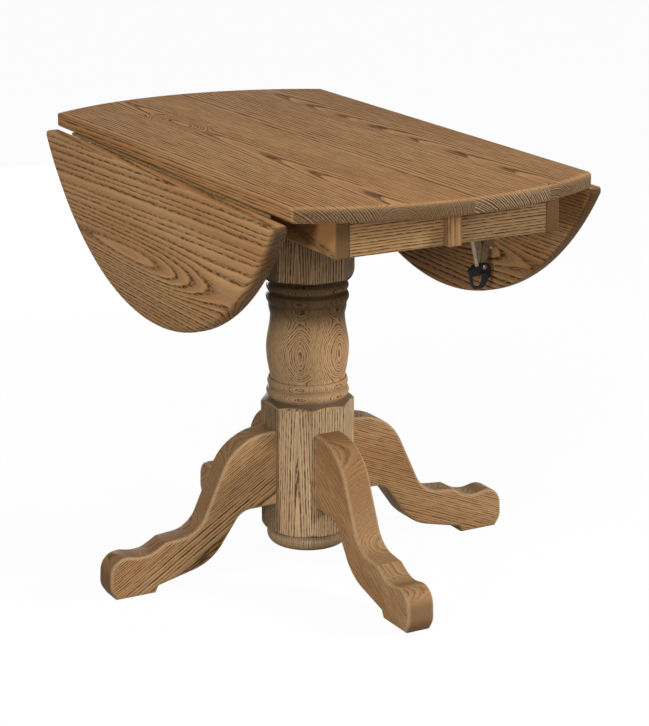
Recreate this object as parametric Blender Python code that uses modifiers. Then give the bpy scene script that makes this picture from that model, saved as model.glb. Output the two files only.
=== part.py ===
"""Round drop-leaf table on a turned octagonal pedestal with four sawn legs.

Origin on the floor under the middle of the table, +Z up, hinge lines along Y, leaves at -X and +X.
All sizes are in metres. At rest both leaves hang down and their folding supports are closed.
"""

import math

import bmesh
import bpy
from mathutils import Matrix, Vector

# Table top: a round top cut into a centre board and two leaves
TOP_HEIGHT = 0.766
TOP_RADIUS = 0.5334
CENTRE_WIDTH = 0.546
TOP_THICK = 0.0254
EDGE_ROUND = 0.011
EDGE_EASE = 0.004
HINGE_EDGE_EASE = 0.0015
CORNER_ROUND = 0.008
TOP_ARC_STEPS = 20
LEAF_ARC_STEPS = 32

# Clearances
FIT_GAP = 0.0003
LEAF_GAP = 0.0006

# Continuous hinge under each joint line
HINGE_LENGTH = 0.770
HINGE_PLATE_WIDTH = 0.024
HINGE_PLATE_THICK = 0.0012
KNUCKLE_RADIUS = 0.0027
HINGE_PIN_RADIUS = 0.0013
HINGE_BORE_SIDES = 6
KNUCKLES = 21
KNUCKLE_SIDES = 8

# Apron under the centre board
APRON_SIDE_INSET = 0.069
APRON_END_INSET = 0.0644
APRON_HEIGHT = 0.061
RAIL_THICK = 0.024
RAIL_EASE = 0.0015
CENTRE_BLOCK_WIDTH = 0.025
CENTRE_BLOCK_PROUD = 0.015

# Pedestal post: an octagonal blank, turned between its two square-cut lengths
POST_FLATS = 0.154
POST_BOTTOM = 0.037
POST_TURN_STEPS = 24
BASE_RADIUS = 0.0736
BASE_FOOT_RADIUS = 0.060
BASE_ROUND_TOP = 0.054
BASE_NECK_RADIUS = 0.072
LOWER_BLOCK_BOTTOM = 0.0655
LOWER_BLOCK_ROUND = 0.016
LOWER_BLOCK_TOP = 0.301
LEDGE_TOP = 0.310
LEDGE_RADIUS = 0.0690
LOW_BEAD_RADIUS = 0.0736
LOW_BEAD_TOP = 0.330
SMALL_BEAD_RADIUS = 0.0715
SMALL_BEAD_TOP = 0.345
BEAD_GROOVE_RADIUS = 0.0690
VASE_FOOT_RADIUS = 0.0670
VASE_FOOT = 0.350
VASE_BELLY_RADIUS = 0.0733
VASE_BELLY = 0.399
VASE_NECK_RADIUS = 0.0659
VASE_NECK = 0.460
COLLAR_RADIUS = 0.0690
COLLAR_BOTTOM = 0.474
COLLAR_TOP = 0.481
MID_BEAD_RADIUS = 0.0733
MID_BEAD_TOP = 0.5025
HIGH_BEAD_RADIUS = 0.0725
HIGH_BEAD_TOP = 0.519
UPPER_BLOCK_BOTTOM = 0.523
UPPER_BLOCK_ROUND = 0.019

# Mounting plate between post and top, bored for the post's round tenon
PLATE_LENGTH = 0.320
PLATE_WIDTH = 0.280
PLATE_THICK = 0.019
TENON_RADIUS = 0.034

# Legs: a sawn S outline, its corners as distances from the post axis and heights, with arc radii
LEG_THICK = 0.0508
LEG_EDGE_ROUND = 0.006
LEG_TOP = 0.260
LEG_KNEE_REACH = 0.155
LEG_KNEE_HEIGHT = 0.254
LEG_KNEE_RADIUS = 0.070
LEG_ANKLE_REACH = 0.230
LEG_ANKLE_HEIGHT = 0.096
LEG_ANKLE_RADIUS = 0.042
LEG_RIDGE_REACH = 0.292
LEG_RIDGE_HEIGHT = 0.089
LEG_DIP_REACH = 0.328
LEG_DIP_HEIGHT = 0.068
LEG_DIP_RADIUS = 0.060
LEG_REACH = 0.399
LEG_TOE_HEIGHT = 0.082
LEG_TOE_LEAN = 0.004
LEG_TOE_RADIUS = 0.024
LEG_TOE_UNDERCUT = 0.012
LEG_TOE_UNDERCUT_HEIGHT = 0.018
LEG_TOE_UNDER_RADIUS = 0.016
LEG_PAD_LENGTH = 0.074
LEG_PAD_STEP = 0.012
LEG_PAD_SLOPE = 0.006
LEG_BELLY_REACH = 0.203
LEG_BELLY_HEIGHT = 0.037
LEG_BELLY_RADIUS = 0.095
LEG_ARCH = 0.1215
LEG_ARCH_REACH = 0.144
LEG_ARCH_RADIUS = 0.036
LEG_CORNER_EASE = 0.0015
LEG_BOLT_RADIUS = 0.004
LEG_BOLT_IN_POST = 0.032
LEG_BOLT_IN_LEG = 0.040
LEG_BOLT_HEIGHTS = {"lower": 0.154, "upper": 0.219}
LEG_BOLT_SIDES = 8

# Folding leaf supports, in the plane across the hinge line
SUPPORT_OFFSET = 0.159
TABLE_PIVOT_FROM_RAIL = 0.017
TABLE_PIVOT_DROP = 0.0526
ELBOW_FROM_LEAF = 0.020
ELBOW_DROP = 0.1916
LEAF_PIVOT_FROM_LEAF = 0.013
LEAF_PIVOT_REACH = 0.137
UPPER_ARM_WIDTH = 0.0135
UPPER_ARM_DEPTH = 0.012
UPPER_ARM_WALL = 0.0015
LOWER_ARM_WIDTH = 0.0105
LOWER_ARM_THICK = 0.0025
BRACKET_THICK = 0.002
BRACKET_EAR_RADIUS = 0.0085
TABLE_BRACKET_HEIGHT = 0.034
TABLE_BRACKET_WIDTH = 0.020
LEAF_BRACKET_HEIGHT = 0.046
LEAF_BRACKET_WIDTH = 0.012
PIVOT_RADIUS = 0.0028
PIVOT_HEAD_RADIUS = 0.0046
PIVOT_HEAD_THICK = 0.0012
PIVOT_CLEARANCE = 0.0003
PIVOT_SIDES = 8
CATCH_THICK = 0.005
RING_THICK = 0.003
RING_PIVOT_RADIUS = 0.0022
RING_PIVOT = (-0.0265, -0.006)
ARC_STEP = math.radians(30)

# Heights and distances that follow from the sizes above
UNDERSIDE = TOP_HEIGHT - TOP_THICK
HALF_WIDTH = CENTRE_WIDTH / 2
PIN_DROP = KNUCKLE_RADIUS + FIT_GAP
PIN_HEIGHT = UNDERSIDE - PIN_DROP
APRON_WIDTH = CENTRE_WIDTH - 2 * APRON_SIDE_INSET
APRON_LENGTH = 2 * (TOP_RADIUS - APRON_END_INSET)
APRON_BOTTOM = UNDERSIDE - APRON_HEIGHT
PLATE_TOP = UNDERSIDE - FIT_GAP
PLATE_BOTTOM = PLATE_TOP - PLATE_THICK
POST_TOP = PLATE_BOTTOM - FIT_GAP
POST_CORNER_RADIUS = POST_FLATS / 2 / math.cos(math.pi / 8)
POST_TURN_RADIUS = POST_CORNER_RADIUS + 4 * FIT_GAP
LEG_ROOT = POST_FLATS / 2 + FIT_GAP


def new_collection(name):
    collection = bpy.data.collections.new(name)
    bpy.context.scene.collection.children.link(collection)
    return collection


def new_material(name, colour, roughness, metallic=0.0):
    material = bpy.data.materials.new(name)
    material.use_nodes = True
    shader = material.node_tree.nodes["Principled BSDF"]
    shader.inputs["Base Color"].default_value = (*colour, 1.0)
    shader.inputs["Roughness"].default_value = roughness
    shader.inputs["Metallic"].default_value = metallic
    return material


def new_empty(name, location=(0, 0, 0), turn=0.0, parent=None):
    empty = bpy.data.objects.new(name, None)
    empty.location = location
    empty.rotation_euler = (0, 0, turn)
    empty.parent = parent
    PARTS.objects.link(empty)
    return empty


def new_part(name, mesh, material, location=(0, 0, 0), rotation=(0, 0, 0), parent=None):
    part = bpy.data.objects.new(name, mesh)
    part.data.materials.append(material)
    part.location = location
    part.rotation_euler = rotation
    part.parent = parent
    PARTS.objects.link(part)
    return part


def combine(part, name, mesh, operation="DIFFERENCE"):
    """Cut a helper mesh, given in the part's own frame, from the part, or join or intersect it."""
    helper = bpy.data.objects.new(part.name + "_" + name, mesh)
    helper.location = part.location
    helper.rotation_euler = part.rotation_euler
    helper.parent = part.parent
    helper.hide_render = True
    helper.display_type = "WIRE"
    CUTTERS.objects.link(helper)
    modifier = part.modifiers.new(name, "BOOLEAN")
    modifier.operation = operation
    modifier.solver = "EXACT"
    modifier.object = helper


def finish(bm, name, sharp_angle=None):
    """Turn a bmesh into a mesh with outward normals, smooth up to the sharp angle."""
    bmesh.ops.recalc_face_normals(bm, faces=bm.faces)
    mesh = bpy.data.meshes.new(name)
    bm.to_mesh(mesh)
    bm.free()
    if sharp_angle:
        mesh.shade_smooth()
        mesh.set_sharp_from_angle(angle=sharp_angle)
    return mesh


def box_mesh(name, low, high, ease=0.0):
    """An upright box between two corners, its edges eased by a small chamfer."""
    low = Vector(low)
    high = Vector(high)
    bm = bmesh.new()
    place = Matrix.Translation((low + high) / 2) @ Matrix.Diagonal((*(high - low), 1.0))
    bmesh.ops.create_cube(bm, size=1.0, matrix=place)
    if ease:
        bmesh.ops.bevel(bm, geom=bm.edges[:], offset=ease, segments=1, affect="EDGES")
    return finish(bm, name)


def add_rod(bm, start, end, radius, sides):
    """Add a capped cylinder between two points."""
    start = Vector(start)
    end = Vector(end)
    along = end - start
    place = Matrix.Translation((start + end) / 2) @ along.to_track_quat("Z", "Y").to_matrix().to_4x4()
    bmesh.ops.create_cone(
        bm,
        cap_ends=True,
        segments=sides,
        radius1=radius,
        radius2=radius,
        depth=along.length,
        matrix=place,
    )


def rods_mesh(name, rods, sides):
    """Cylinders in one mesh, each given as start, end and radius."""
    bm = bmesh.new()
    for start, end, radius in rods:
        add_rod(bm, start, end, radius, sides)
    return finish(bm, name, math.radians(40))


def turned_mesh(name, profile, place, sides):
    """A turned profile, given as (radius, height) from its top to its bottom, moved to its place."""
    bm = bmesh.new()
    verts = [bm.verts.new((radius, 0, height)) for radius, height in profile]
    edges = [bm.edges.new(pair) for pair in zip(verts, verts[1:])]
    bmesh.ops.spin(
        bm,
        geom=verts + edges,
        axis=(0, 0, 1),
        cent=(0, 0, 0),
        steps=sides,
        angle=2 * math.pi,
    )
    bmesh.ops.remove_doubles(bm, verts=bm.verts, dist=1e-6)
    bmesh.ops.transform(bm, matrix=place, verts=bm.verts)
    return finish(bm, name, math.radians(40))


def rounded_outline(corners, step=ARC_STEP):
    """Points of a closed outline whose corners (x, y, radius) are replaced by tangent arcs."""
    points = []
    for index, (x, y, radius) in enumerate(corners):
        corner = Vector((x, y))
        if not radius:
            points.append(corner)
            continue
        back = (Vector(corners[index - 1][:2]) - corner).normalized()
        ahead = (Vector(corners[(index + 1) % len(corners)][:2]) - corner).normalized()
        half = back.angle(ahead) / 2
        centre = corner + (back + ahead).normalized() * radius / math.sin(half)
        first = corner + back * radius / math.tan(half) - centre
        turn = first.angle_signed(corner + ahead * radius / math.tan(half) - centre)
        count = max(1, math.ceil(abs(turn) / step))
        for k in range(count + 1):
            points.append(centre + Matrix.Rotation(-turn * k / count, 2) @ first)
    return points


def bar_outline(start, end, radius, steps=5):
    """A bar with half-round ends about two points."""
    start = Vector(start)
    end = Vector(end)
    heading = math.atan2(end.y - start.y, end.x - start.x)
    points = []
    for centre, base in ((start, heading + math.pi / 2), (end, heading - math.pi / 2)):
        for k in range(steps + 1):
            angle = base + math.pi * k / steps
            points.append(centre + radius * Vector((math.cos(angle), math.sin(angle))))
    return points


def circle_outline(centre, radius, sides=PIVOT_SIDES):
    angles = [2 * math.pi * k / sides for k in range(sides)]
    return [Vector(centre) + radius * Vector((math.cos(a), math.sin(a))) for a in angles]


def plate_mesh(name, outlines, low, high):
    """A flat piece from closed outlines in XY, outer edge first, between two heights."""
    curve = bpy.data.curves.new(name, "CURVE")
    curve.dimensions = "2D"
    curve.fill_mode = "BOTH"
    curve.extrude = (high - low) / 2
    for outline in outlines:
        spline = curve.splines.new("POLY")
        spline.points.add(len(outline) - 1)
        spline.use_cyclic_u = True
        for point, place in zip(spline.points, outline):
            point.co = (place[0], place[1], 0, 1)
    sketch = bpy.data.objects.new(name, curve)
    CUTTERS.objects.link(sketch)
    bpy.context.view_layer.update()
    graph = bpy.context.evaluated_depsgraph_get()
    mesh = bpy.data.meshes.new_from_object(sketch.evaluated_get(graph))
    bpy.data.objects.remove(sketch)
    bpy.data.curves.remove(curve)
    mesh.transform(Matrix.Translation((0, 0, (low + high) / 2)))
    bm = bmesh.new()
    bm.from_mesh(mesh)
    bpy.data.meshes.remove(mesh)
    bmesh.ops.remove_doubles(bm, verts=bm.verts, dist=1e-6)
    return finish(bm, name, math.radians(40))


def upright_mesh(name, outlines, near, far):
    """A flat piece whose outlines lie in XZ, between two distances along Y."""
    mesh = plate_mesh(name, outlines, -far, -near)
    mesh.transform(Matrix.Rotation(math.pi / 2, 4, "X"))
    return mesh


def round_edges(mesh, chosen, radius, segments):
    """Round the edges of a mesh that a test on their two end points picks out."""
    bm = bmesh.new()
    bm.from_mesh(mesh)
    edges = [e for e in bm.edges if chosen(e.verts[0].co, e.verts[1].co) and e.calc_face_angle(0) > 0.5]
    bmesh.ops.bevel(bm, geom=edges, offset=radius, segments=segments, profile=0.5, affect="EDGES")
    bmesh.ops.recalc_face_normals(bm, faces=bm.faces)
    bm.to_mesh(mesh)
    bm.free()
    mesh.shade_smooth()
    mesh.set_sharp_from_angle(angle=math.radians(40))


def at_height(height):
    """A test for edges that lie flat at one height."""
    return lambda a, b: abs(a.z - height) < 1e-5 and abs(b.z - height) < 1e-5


def round_board(mesh, low, high, on_hinge_edge):
    """Round over a board's curved upper edge, and ease its lower and hinge-side edges."""
    top = at_height(high)
    bottom = at_height(low)
    round_edges(mesh, lambda a, b: top(a, b) and not on_hinge_edge(a, b), EDGE_ROUND, 3)
    round_edges(mesh, lambda a, b: bottom(a, b) and not on_hinge_edge(a, b), EDGE_EASE, 1)
    round_edges(mesh, lambda a, b: top(a, b) and on_hinge_edge(a, b), HINGE_EDGE_EASE, 1)


def arc_corners(radius, half_angle, middle, steps, shift=0.0):
    """Points of an arc about the table centre as sharp corners, its ends left to the caller."""
    corners = []
    for k in range(1, steps):
        angle = middle - half_angle + 2 * half_angle * k / steps
        corners.append((radius * math.cos(angle) - shift, radius * math.sin(angle), 0))
    return corners


def make_centre_top():
    """The fixed centre board: straight along both hinge lines, curved at both ends."""
    half_length = math.sqrt(TOP_RADIUS**2 - HALF_WIDTH**2)
    half_angle = math.asin(HALF_WIDTH / TOP_RADIUS)
    back = arc_corners(TOP_RADIUS, half_angle, math.pi / 2, TOP_ARC_STEPS)
    front = arc_corners(TOP_RADIUS, half_angle, -math.pi / 2, TOP_ARC_STEPS)
    corners = [(HALF_WIDTH, half_length, CORNER_ROUND)] + back
    corners += [(-HALF_WIDTH, half_length, CORNER_ROUND), (-HALF_WIDTH, -half_length, CORNER_ROUND)]
    corners += front + [(HALF_WIDTH, -half_length, CORNER_ROUND)]
    mesh = plate_mesh("centre_top", [rounded_outline(corners)], UNDERSIDE, TOP_HEIGHT)

    def on_hinge_edge(a, b):
        return abs(abs(a.x) - HALF_WIDTH) < 1e-5 and abs(a.x - b.x) < 1e-5

    round_board(mesh, UNDERSIDE, TOP_HEIGHT, on_hinge_edge)
    new_part("centre_top", mesh, OAK)


def make_leaf(side, name):
    """A half-moon leaf, drawn as if raised, its origin on the hinge pin, turned down to hang."""
    start = LEAF_GAP
    chord = HALF_WIDTH + start
    half_length = math.sqrt(TOP_RADIUS**2 - chord**2)
    half_angle = math.acos(chord / TOP_RADIUS)
    corners = [(start, -half_length, CORNER_ROUND)]
    corners += arc_corners(TOP_RADIUS, half_angle, 0.0, LEAF_ARC_STEPS, HALF_WIDTH)
    corners.append((start, half_length, CORNER_ROUND))
    low = PIN_DROP
    high = PIN_DROP + TOP_THICK
    mesh = plate_mesh(name, [rounded_outline(corners)], low, high)

    def on_hinge_edge(a, b):
        return abs(a.x - start) < 1e-5 and abs(b.x - start) < 1e-5

    round_board(mesh, low, high, on_hinge_edge)
    new_part(name, mesh, OAK, (HALF_WIDTH, 0, PIN_HEIGHT), (0, math.pi / 2, 0), side)


def hinge_section():
    """Section of a hinge plate curled round the pin: the plate lies along +X above the pin."""
    flat_low = KNUCKLE_RADIUS - HINGE_PLATE_THICK
    join = math.asin(flat_low / KNUCKLE_RADIUS)
    outer = [Vector((HINGE_PLATE_WIDTH, flat_low)), Vector((HINGE_PLATE_WIDTH, KNUCKLE_RADIUS))]
    for k in range(KNUCKLE_SIDES):
        angle = math.pi / 2 + (3 * math.pi / 2 + join) * k / (KNUCKLE_SIDES - 1)
        outer.append(KNUCKLE_RADIUS * Vector((math.cos(angle), math.sin(angle))))
    bore = circle_outline((0, 0), HINGE_PIN_RADIUS + FIT_GAP, HINGE_BORE_SIDES)
    return [outer, bore]


def hinge_plate_mesh(name, notched):
    """The curled section along the hinge, notched where the other plate's knuckles sit."""
    half = HINGE_LENGTH / 2
    mesh = upright_mesh(name, hinge_section(), -half, half)
    bm = bmesh.new()
    pitch = HINGE_LENGTH / KNUCKLES
    reach = KNUCKLE_RADIUS + FIT_GAP
    for k in notched:
        low = -half + k * pitch - (FIT_GAP if k else pitch)
        high = -half + (k + 1) * pitch + (FIT_GAP if k < KNUCKLES - 1 else pitch)
        size = Vector((2 * reach, high - low, 2 * reach))
        place = Matrix.Translation((0, (low + high) / 2, 0)) @ Matrix.Diagonal((*size, 1.0))
        bmesh.ops.create_cube(bm, size=1.0, matrix=place)
    return mesh, finish(bm, name + "_notches")


def make_hinge(side, label):
    """Top plate, leaf plate and pin of one continuous hinge, about its pin."""
    place = (HALF_WIDTH, 0, PIN_HEIGHT)
    mesh, notches = hinge_plate_mesh("hinge_top_plate", range(1, KNUCKLES, 2))
    plate = new_part(label + "_hinge_top_plate", mesh, STEEL, place, (0, 0, math.pi), side)
    combine(plate, "notches", notches)
    mesh, notches = hinge_plate_mesh("hinge_leaf_plate", range(0, KNUCKLES, 2))
    plate = new_part(label + "_hinge_leaf_plate", mesh, STEEL, place, (0, math.pi / 2, 0), side)
    combine(plate, "notches", notches)
    half = HINGE_LENGTH / 2
    pin = rods_mesh("hinge_pin", [((0, -half, 0), (0, half, 0), HINGE_PIN_RADIUS)], HINGE_BORE_SIDES)
    new_part(label + "_hinge_pin", pin, STEEL, place, parent=side)


def make_apron():
    """Side rails run the full length, and the end rails and blocks fit between and on them."""
    half_x = APRON_WIDTH / 2
    half_y = APRON_LENGTH / 2
    top = UNDERSIDE - FIT_GAP
    inner = half_x - RAIL_THICK - FIT_GAP
    for name, sign in (("left_rail", -1), ("right_rail", 1)):
        xs = sorted((sign * half_x, sign * (half_x - RAIL_THICK)))
        mesh = box_mesh(name, (xs[0], -half_y, APRON_BOTTOM), (xs[1], half_y, top), RAIL_EASE)
        new_part(name, mesh, OAK)
    for end, sign in (("front", -1), ("back", 1)):
        ys = sorted((sign * half_y, sign * (half_y - RAIL_THICK)))
        mesh = box_mesh(end + "_rail", (-inner, ys[0], APRON_BOTTOM), (inner, ys[1], top), RAIL_EASE)
        new_part(end + "_rail", mesh, OAK)
        near = half_y + FIT_GAP
        ys = sorted((sign * near, sign * (near + CENTRE_BLOCK_PROUD)))
        low = (-CENTRE_BLOCK_WIDTH / 2, ys[0], APRON_BOTTOM)
        mesh = box_mesh(end + "_centre_block", low, (CENTRE_BLOCK_WIDTH / 2, ys[1], top), RAIL_EASE)
        new_part(end + "_centre_block", mesh, OAK)


def quarter_round(outer, inner, steps=4):
    """Profile points of a quarter ellipse from upright at the first point to level at the second."""
    points = []
    for k in range(steps + 1):
        angle = math.pi / 2 * k / steps
        radius = inner[0] + (outer[0] - inner[0]) * math.cos(angle)
        points.append((radius, outer[1] + (inner[1] - outer[1]) * math.sin(angle)))
    return points


def bead(edge_radius, crown_radius, top, bottom, steps=6):
    """Profile points of a half-round bead, by a sine over its height."""
    points = []
    for k in range(steps + 1):
        swell = math.sin(math.pi * k / steps)
        radius = edge_radius + (crown_radius - edge_radius) * swell
        points.append((radius, top + (bottom - top) * k / steps))
    return points


def vase():
    """Profile points of the vase: an S curve out to the belly, a quarter wave in to the foot."""
    points = []
    for k in range(8):
        swell = (1 - math.cos(math.pi * k / 7)) / 2
        radius = VASE_NECK_RADIUS + (VASE_BELLY_RADIUS - VASE_NECK_RADIUS) * swell
        points.append((radius, VASE_NECK + (VASE_BELLY - VASE_NECK) * k / 7))
    for k in range(1, 6):
        radius = VASE_FOOT_RADIUS + (VASE_BELLY_RADIUS - VASE_FOOT_RADIUS) * math.cos(math.pi * k / 10)
        points.append((radius, VASE_BELLY + (VASE_FOOT - VASE_BELLY) * k / 5))
    return points


def post_profile():
    """The turned outline (radius, height), top to bottom, closed on the axis at both ends."""
    groove = BEAD_GROOVE_RADIUS
    tenon_top = PLATE_TOP - FIT_GAP
    points = [(0, tenon_top), (TENON_RADIUS, tenon_top)]
    points += [(TENON_RADIUS, POST_TOP), (POST_TURN_RADIUS, POST_TOP)]
    shoulder = UPPER_BLOCK_BOTTOM + UPPER_BLOCK_ROUND
    points += quarter_round((POST_TURN_RADIUS, shoulder), (groove, UPPER_BLOCK_BOTTOM))
    points += bead(groove, HIGH_BEAD_RADIUS, HIGH_BEAD_TOP, MID_BEAD_TOP, 5)
    points += bead(groove, MID_BEAD_RADIUS, MID_BEAD_TOP, COLLAR_TOP)[1:]
    points += [(COLLAR_RADIUS, COLLAR_BOTTOM)]
    points += vase()
    points += [(VASE_FOOT_RADIUS, SMALL_BEAD_TOP)]
    points += bead(groove, SMALL_BEAD_RADIUS, SMALL_BEAD_TOP, LOW_BEAD_TOP, 4)
    points += bead(groove, LOW_BEAD_RADIUS, LOW_BEAD_TOP, LEDGE_TOP, 6)[1:-1]
    points += [(LEDGE_RADIUS, LEDGE_TOP), (POST_TURN_RADIUS, LOWER_BLOCK_TOP)]
    rounding = LOWER_BLOCK_BOTTOM + LOWER_BLOCK_ROUND
    points += quarter_round((POST_TURN_RADIUS, rounding), (BASE_NECK_RADIUS, LOWER_BLOCK_BOTTOM))
    points += [(BASE_NECK_RADIUS, (LOWER_BLOCK_BOTTOM + BASE_ROUND_TOP + BASE_ROUND_TOP) / 3)]
    points += quarter_round((BASE_RADIUS, BASE_ROUND_TOP), (BASE_FOOT_RADIUS, POST_BOTTOM))
    points.append((0, POST_BOTTOM))
    return points


def make_post():
    """The turned profile, cut to the octagonal blank and drilled for the leg bolts."""
    profile = post_profile()
    mesh = bpy.data.meshes.new("pedestal_post")
    edges = [(k, k + 1) for k in range(len(profile) - 1)]
    mesh.from_pydata([(radius, 0, height) for radius, height in profile], edges, [])
    post = new_part("pedestal_post", mesh, OAK)
    screw = post.modifiers.new("turning", "SCREW")
    screw.steps = POST_TURN_STEPS
    screw.render_steps = POST_TURN_STEPS
    screw.use_merge_vertices = True
    screw.merge_threshold = 0.00001
    corners = circle_outline((0, 0), POST_CORNER_RADIUS, 8)
    blank = plate_mesh("blank", [corners], POST_BOTTOM / 2, TOP_HEIGHT)
    blank.transform(Matrix.Rotation(math.pi / 8, 4, "Z"))
    combine(post, "octagon", blank, "INTERSECT")
    hole = LEG_BOLT_RADIUS + FIT_GAP
    depth = POST_FLATS / 2 - LEG_BOLT_IN_POST - FIT_GAP
    holes = []
    for quarter in range(4):
        out = Matrix.Rotation(quarter * math.pi / 2, 3, "Z") @ Vector((1, 0, 0))
        for height in LEG_BOLT_HEIGHTS.values():
            up = Vector((0, 0, height))
            holes.append((up + out * depth, up + out * POST_FLATS, hole))
    combine(post, "bolt_holes", rods_mesh("bolt_holes", holes, LEG_BOLT_SIDES))


def leg_outline():
    """The sawn outline as corners (distance out, height) with the radius of each curve."""
    pad = LEG_REACH - LEG_TOE_UNDERCUT
    heel = pad - LEG_PAD_LENGTH
    ease = LEG_CORNER_EASE
    return [
        (LEG_ROOT, LEG_TOP, 0),
        (LEG_KNEE_REACH, LEG_KNEE_HEIGHT, LEG_KNEE_RADIUS),
        (LEG_ANKLE_REACH, LEG_ANKLE_HEIGHT, LEG_ANKLE_RADIUS),
        (LEG_RIDGE_REACH, LEG_RIDGE_HEIGHT, 0),
        (LEG_DIP_REACH, LEG_DIP_HEIGHT, LEG_DIP_RADIUS),
        (LEG_REACH - LEG_TOE_LEAN, LEG_TOE_HEIGHT, LEG_TOE_RADIUS),
        (LEG_REACH, LEG_TOE_UNDERCUT_HEIGHT, LEG_TOE_UNDER_RADIUS),
        (pad, 0, ease),
        (heel, 0, ease),
        (heel - LEG_PAD_SLOPE, LEG_PAD_STEP, ease),
        (LEG_BELLY_REACH, LEG_BELLY_HEIGHT, LEG_BELLY_RADIUS),
        (LEG_ARCH_REACH, LEG_ARCH, LEG_ARCH_RADIUS),
        (LEG_ROOT, LEG_ARCH, 0),
    ]


def make_legs():
    """Four legs, one on each flat that faces along an axis, each bolted to the post."""
    outline = rounded_outline(leg_outline(), math.radians(18))
    half = LEG_THICK / 2
    hole = LEG_BOLT_RADIUS + FIT_GAP
    inside = LEG_ROOT + LEG_BOLT_IN_LEG + FIT_GAP
    for quarter, name in enumerate(("right_leg", "back_leg", "left_leg", "front_leg")):
        mesh = upright_mesh(name, [outline], -half, half)

        def on_face(a, b):
            same_face = abs(abs(a.y) - half) < 1e-5 and abs(a.y - b.y) < 1e-5
            at_post = abs(a.x - LEG_ROOT) < 1e-5 and abs(b.x - LEG_ROOT) < 1e-5
            return same_face and not at_post

        round_edges(mesh, on_face, LEG_EDGE_ROUND, 2)
        leg = new_part(name, mesh, OAK, rotation=(0, 0, quarter * math.pi / 2))
        holes = [((0, 0, z), (inside, 0, z), hole) for z in LEG_BOLT_HEIGHTS.values()]
        combine(leg, "bolt_holes", rods_mesh("bolt_holes", holes, LEG_BOLT_SIDES))
        start = POST_FLATS / 2 - LEG_BOLT_IN_POST
        end = LEG_ROOT + LEG_BOLT_IN_LEG
        for level, z in LEG_BOLT_HEIGHTS.items():
            bolt = rods_mesh("leg_bolt", [((start, 0, z), (end, 0, z), LEG_BOLT_RADIUS)], LEG_BOLT_SIDES)
            new_part(name + "_" + level + "_bolt", bolt, STEEL, rotation=leg.rotation_euler)


def make_mounting_plate():
    """Plate under the top, bored through for the tenon on the post."""
    half_x = PLATE_WIDTH / 2
    half_y = PLATE_LENGTH / 2
    mesh = box_mesh("mounting_plate", (-half_x, -half_y, PLATE_BOTTOM), (half_x, half_y, PLATE_TOP))
    plate = new_part("mounting_plate", mesh, OAK)
    bore = [((0, 0, POST_TOP - PLATE_THICK), (0, 0, TOP_HEIGHT), TENON_RADIUS + FIT_GAP)]
    combine(plate, "tenon_bore", rods_mesh("tenon_bore", bore, POST_TURN_STEPS))


def support_points():
    """Table pivot, elbow and leaf pivot of a closed support, as (x, z) beside the right leaf."""
    leaf_face = HALF_WIDTH + PIN_DROP
    table = Vector((APRON_WIDTH / 2 + TABLE_PIVOT_FROM_RAIL, UNDERSIDE - TABLE_PIVOT_DROP))
    elbow = Vector((leaf_face - ELBOW_FROM_LEAF, UNDERSIDE - ELBOW_DROP))
    leaf = Vector((leaf_face - LEAF_PIVOT_FROM_LEAF, PIN_HEIGHT - LEAF_PIVOT_REACH))
    return table, elbow, leaf


def print_support_ratios():
    """Solve the raised support and print how far each arm turns for each degree of the leaf."""
    table, elbow, leaf = support_points()
    pin = Vector((HALF_WIDTH, PIN_HEIGHT))
    arm = (elbow - table).length
    link = (elbow - leaf).length
    hang = leaf - pin
    raised_leaf = pin + Vector((-hang.y, hang.x))
    span = raised_leaf - table
    spread = math.acos(min(1.0, (arm**2 + span.length**2 - link**2) / (2 * arm * span.length)))
    upper = math.atan2(span.y, span.x) - spread
    raised_elbow = table + arm * Vector((math.cos(upper), math.sin(upper)))
    rest_upper = math.atan2(elbow.y - table.y, elbow.x - table.x)
    rest_lower = math.atan2(elbow.y - leaf.y, elbow.x - leaf.x)
    raised = raised_elbow - raised_leaf
    lower = math.atan2(raised.y, raised.x)
    quarter = math.pi / 2
    print("upper arm ratio", round((upper - rest_upper) / quarter, 5))
    print("lower arm ratio", round((lower - rest_lower - quarter) / quarter, 5))
    print("pivots", [tuple(round(c, 5) for c in p) for p in (table, elbow, leaf)])


def pivot_stub(name, centre, start, end):
    """A pivot pin along +Y from a bracket ear, with its head at the far end."""
    x, z = centre
    length = end - start
    profile = [
        (0, length),
        (PIVOT_HEAD_RADIUS, length),
        (PIVOT_HEAD_RADIUS, length - PIVOT_HEAD_THICK),
        (PIVOT_RADIUS, length - PIVOT_HEAD_THICK),
        (PIVOT_RADIUS, 0),
        (0, 0),
    ]
    place = Matrix.Translation((x, start, z)) @ Matrix.Rotation(-math.pi / 2, 4, "X")
    return turned_mesh(name, profile, place, PIVOT_SIDES)


def support_layers():
    """Near and far distance along Y of each layer of a support, about the upper arm's middle."""
    arm = (-UPPER_ARM_DEPTH / 2, UPPER_ARM_DEPTH / 2)
    link_far = arm[0] - PIVOT_HEAD_THICK - 2 * FIT_GAP
    link = (link_far - LOWER_ARM_THICK, link_far)
    catch = (link[0] - FIT_GAP - CATCH_THICK, link[0] - FIT_GAP)
    return {
        "arm": arm,
        "table_ear": (arm[0] - FIT_GAP - BRACKET_THICK, arm[0] - FIT_GAP),
        "link": link,
        "leaf_ear": (link[0] - FIT_GAP - BRACKET_THICK, link[0] - FIT_GAP),
        "catch": catch,
        "ring": (catch[0] - FIT_GAP - RING_THICK, catch[0] - FIT_GAP),
    }


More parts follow.
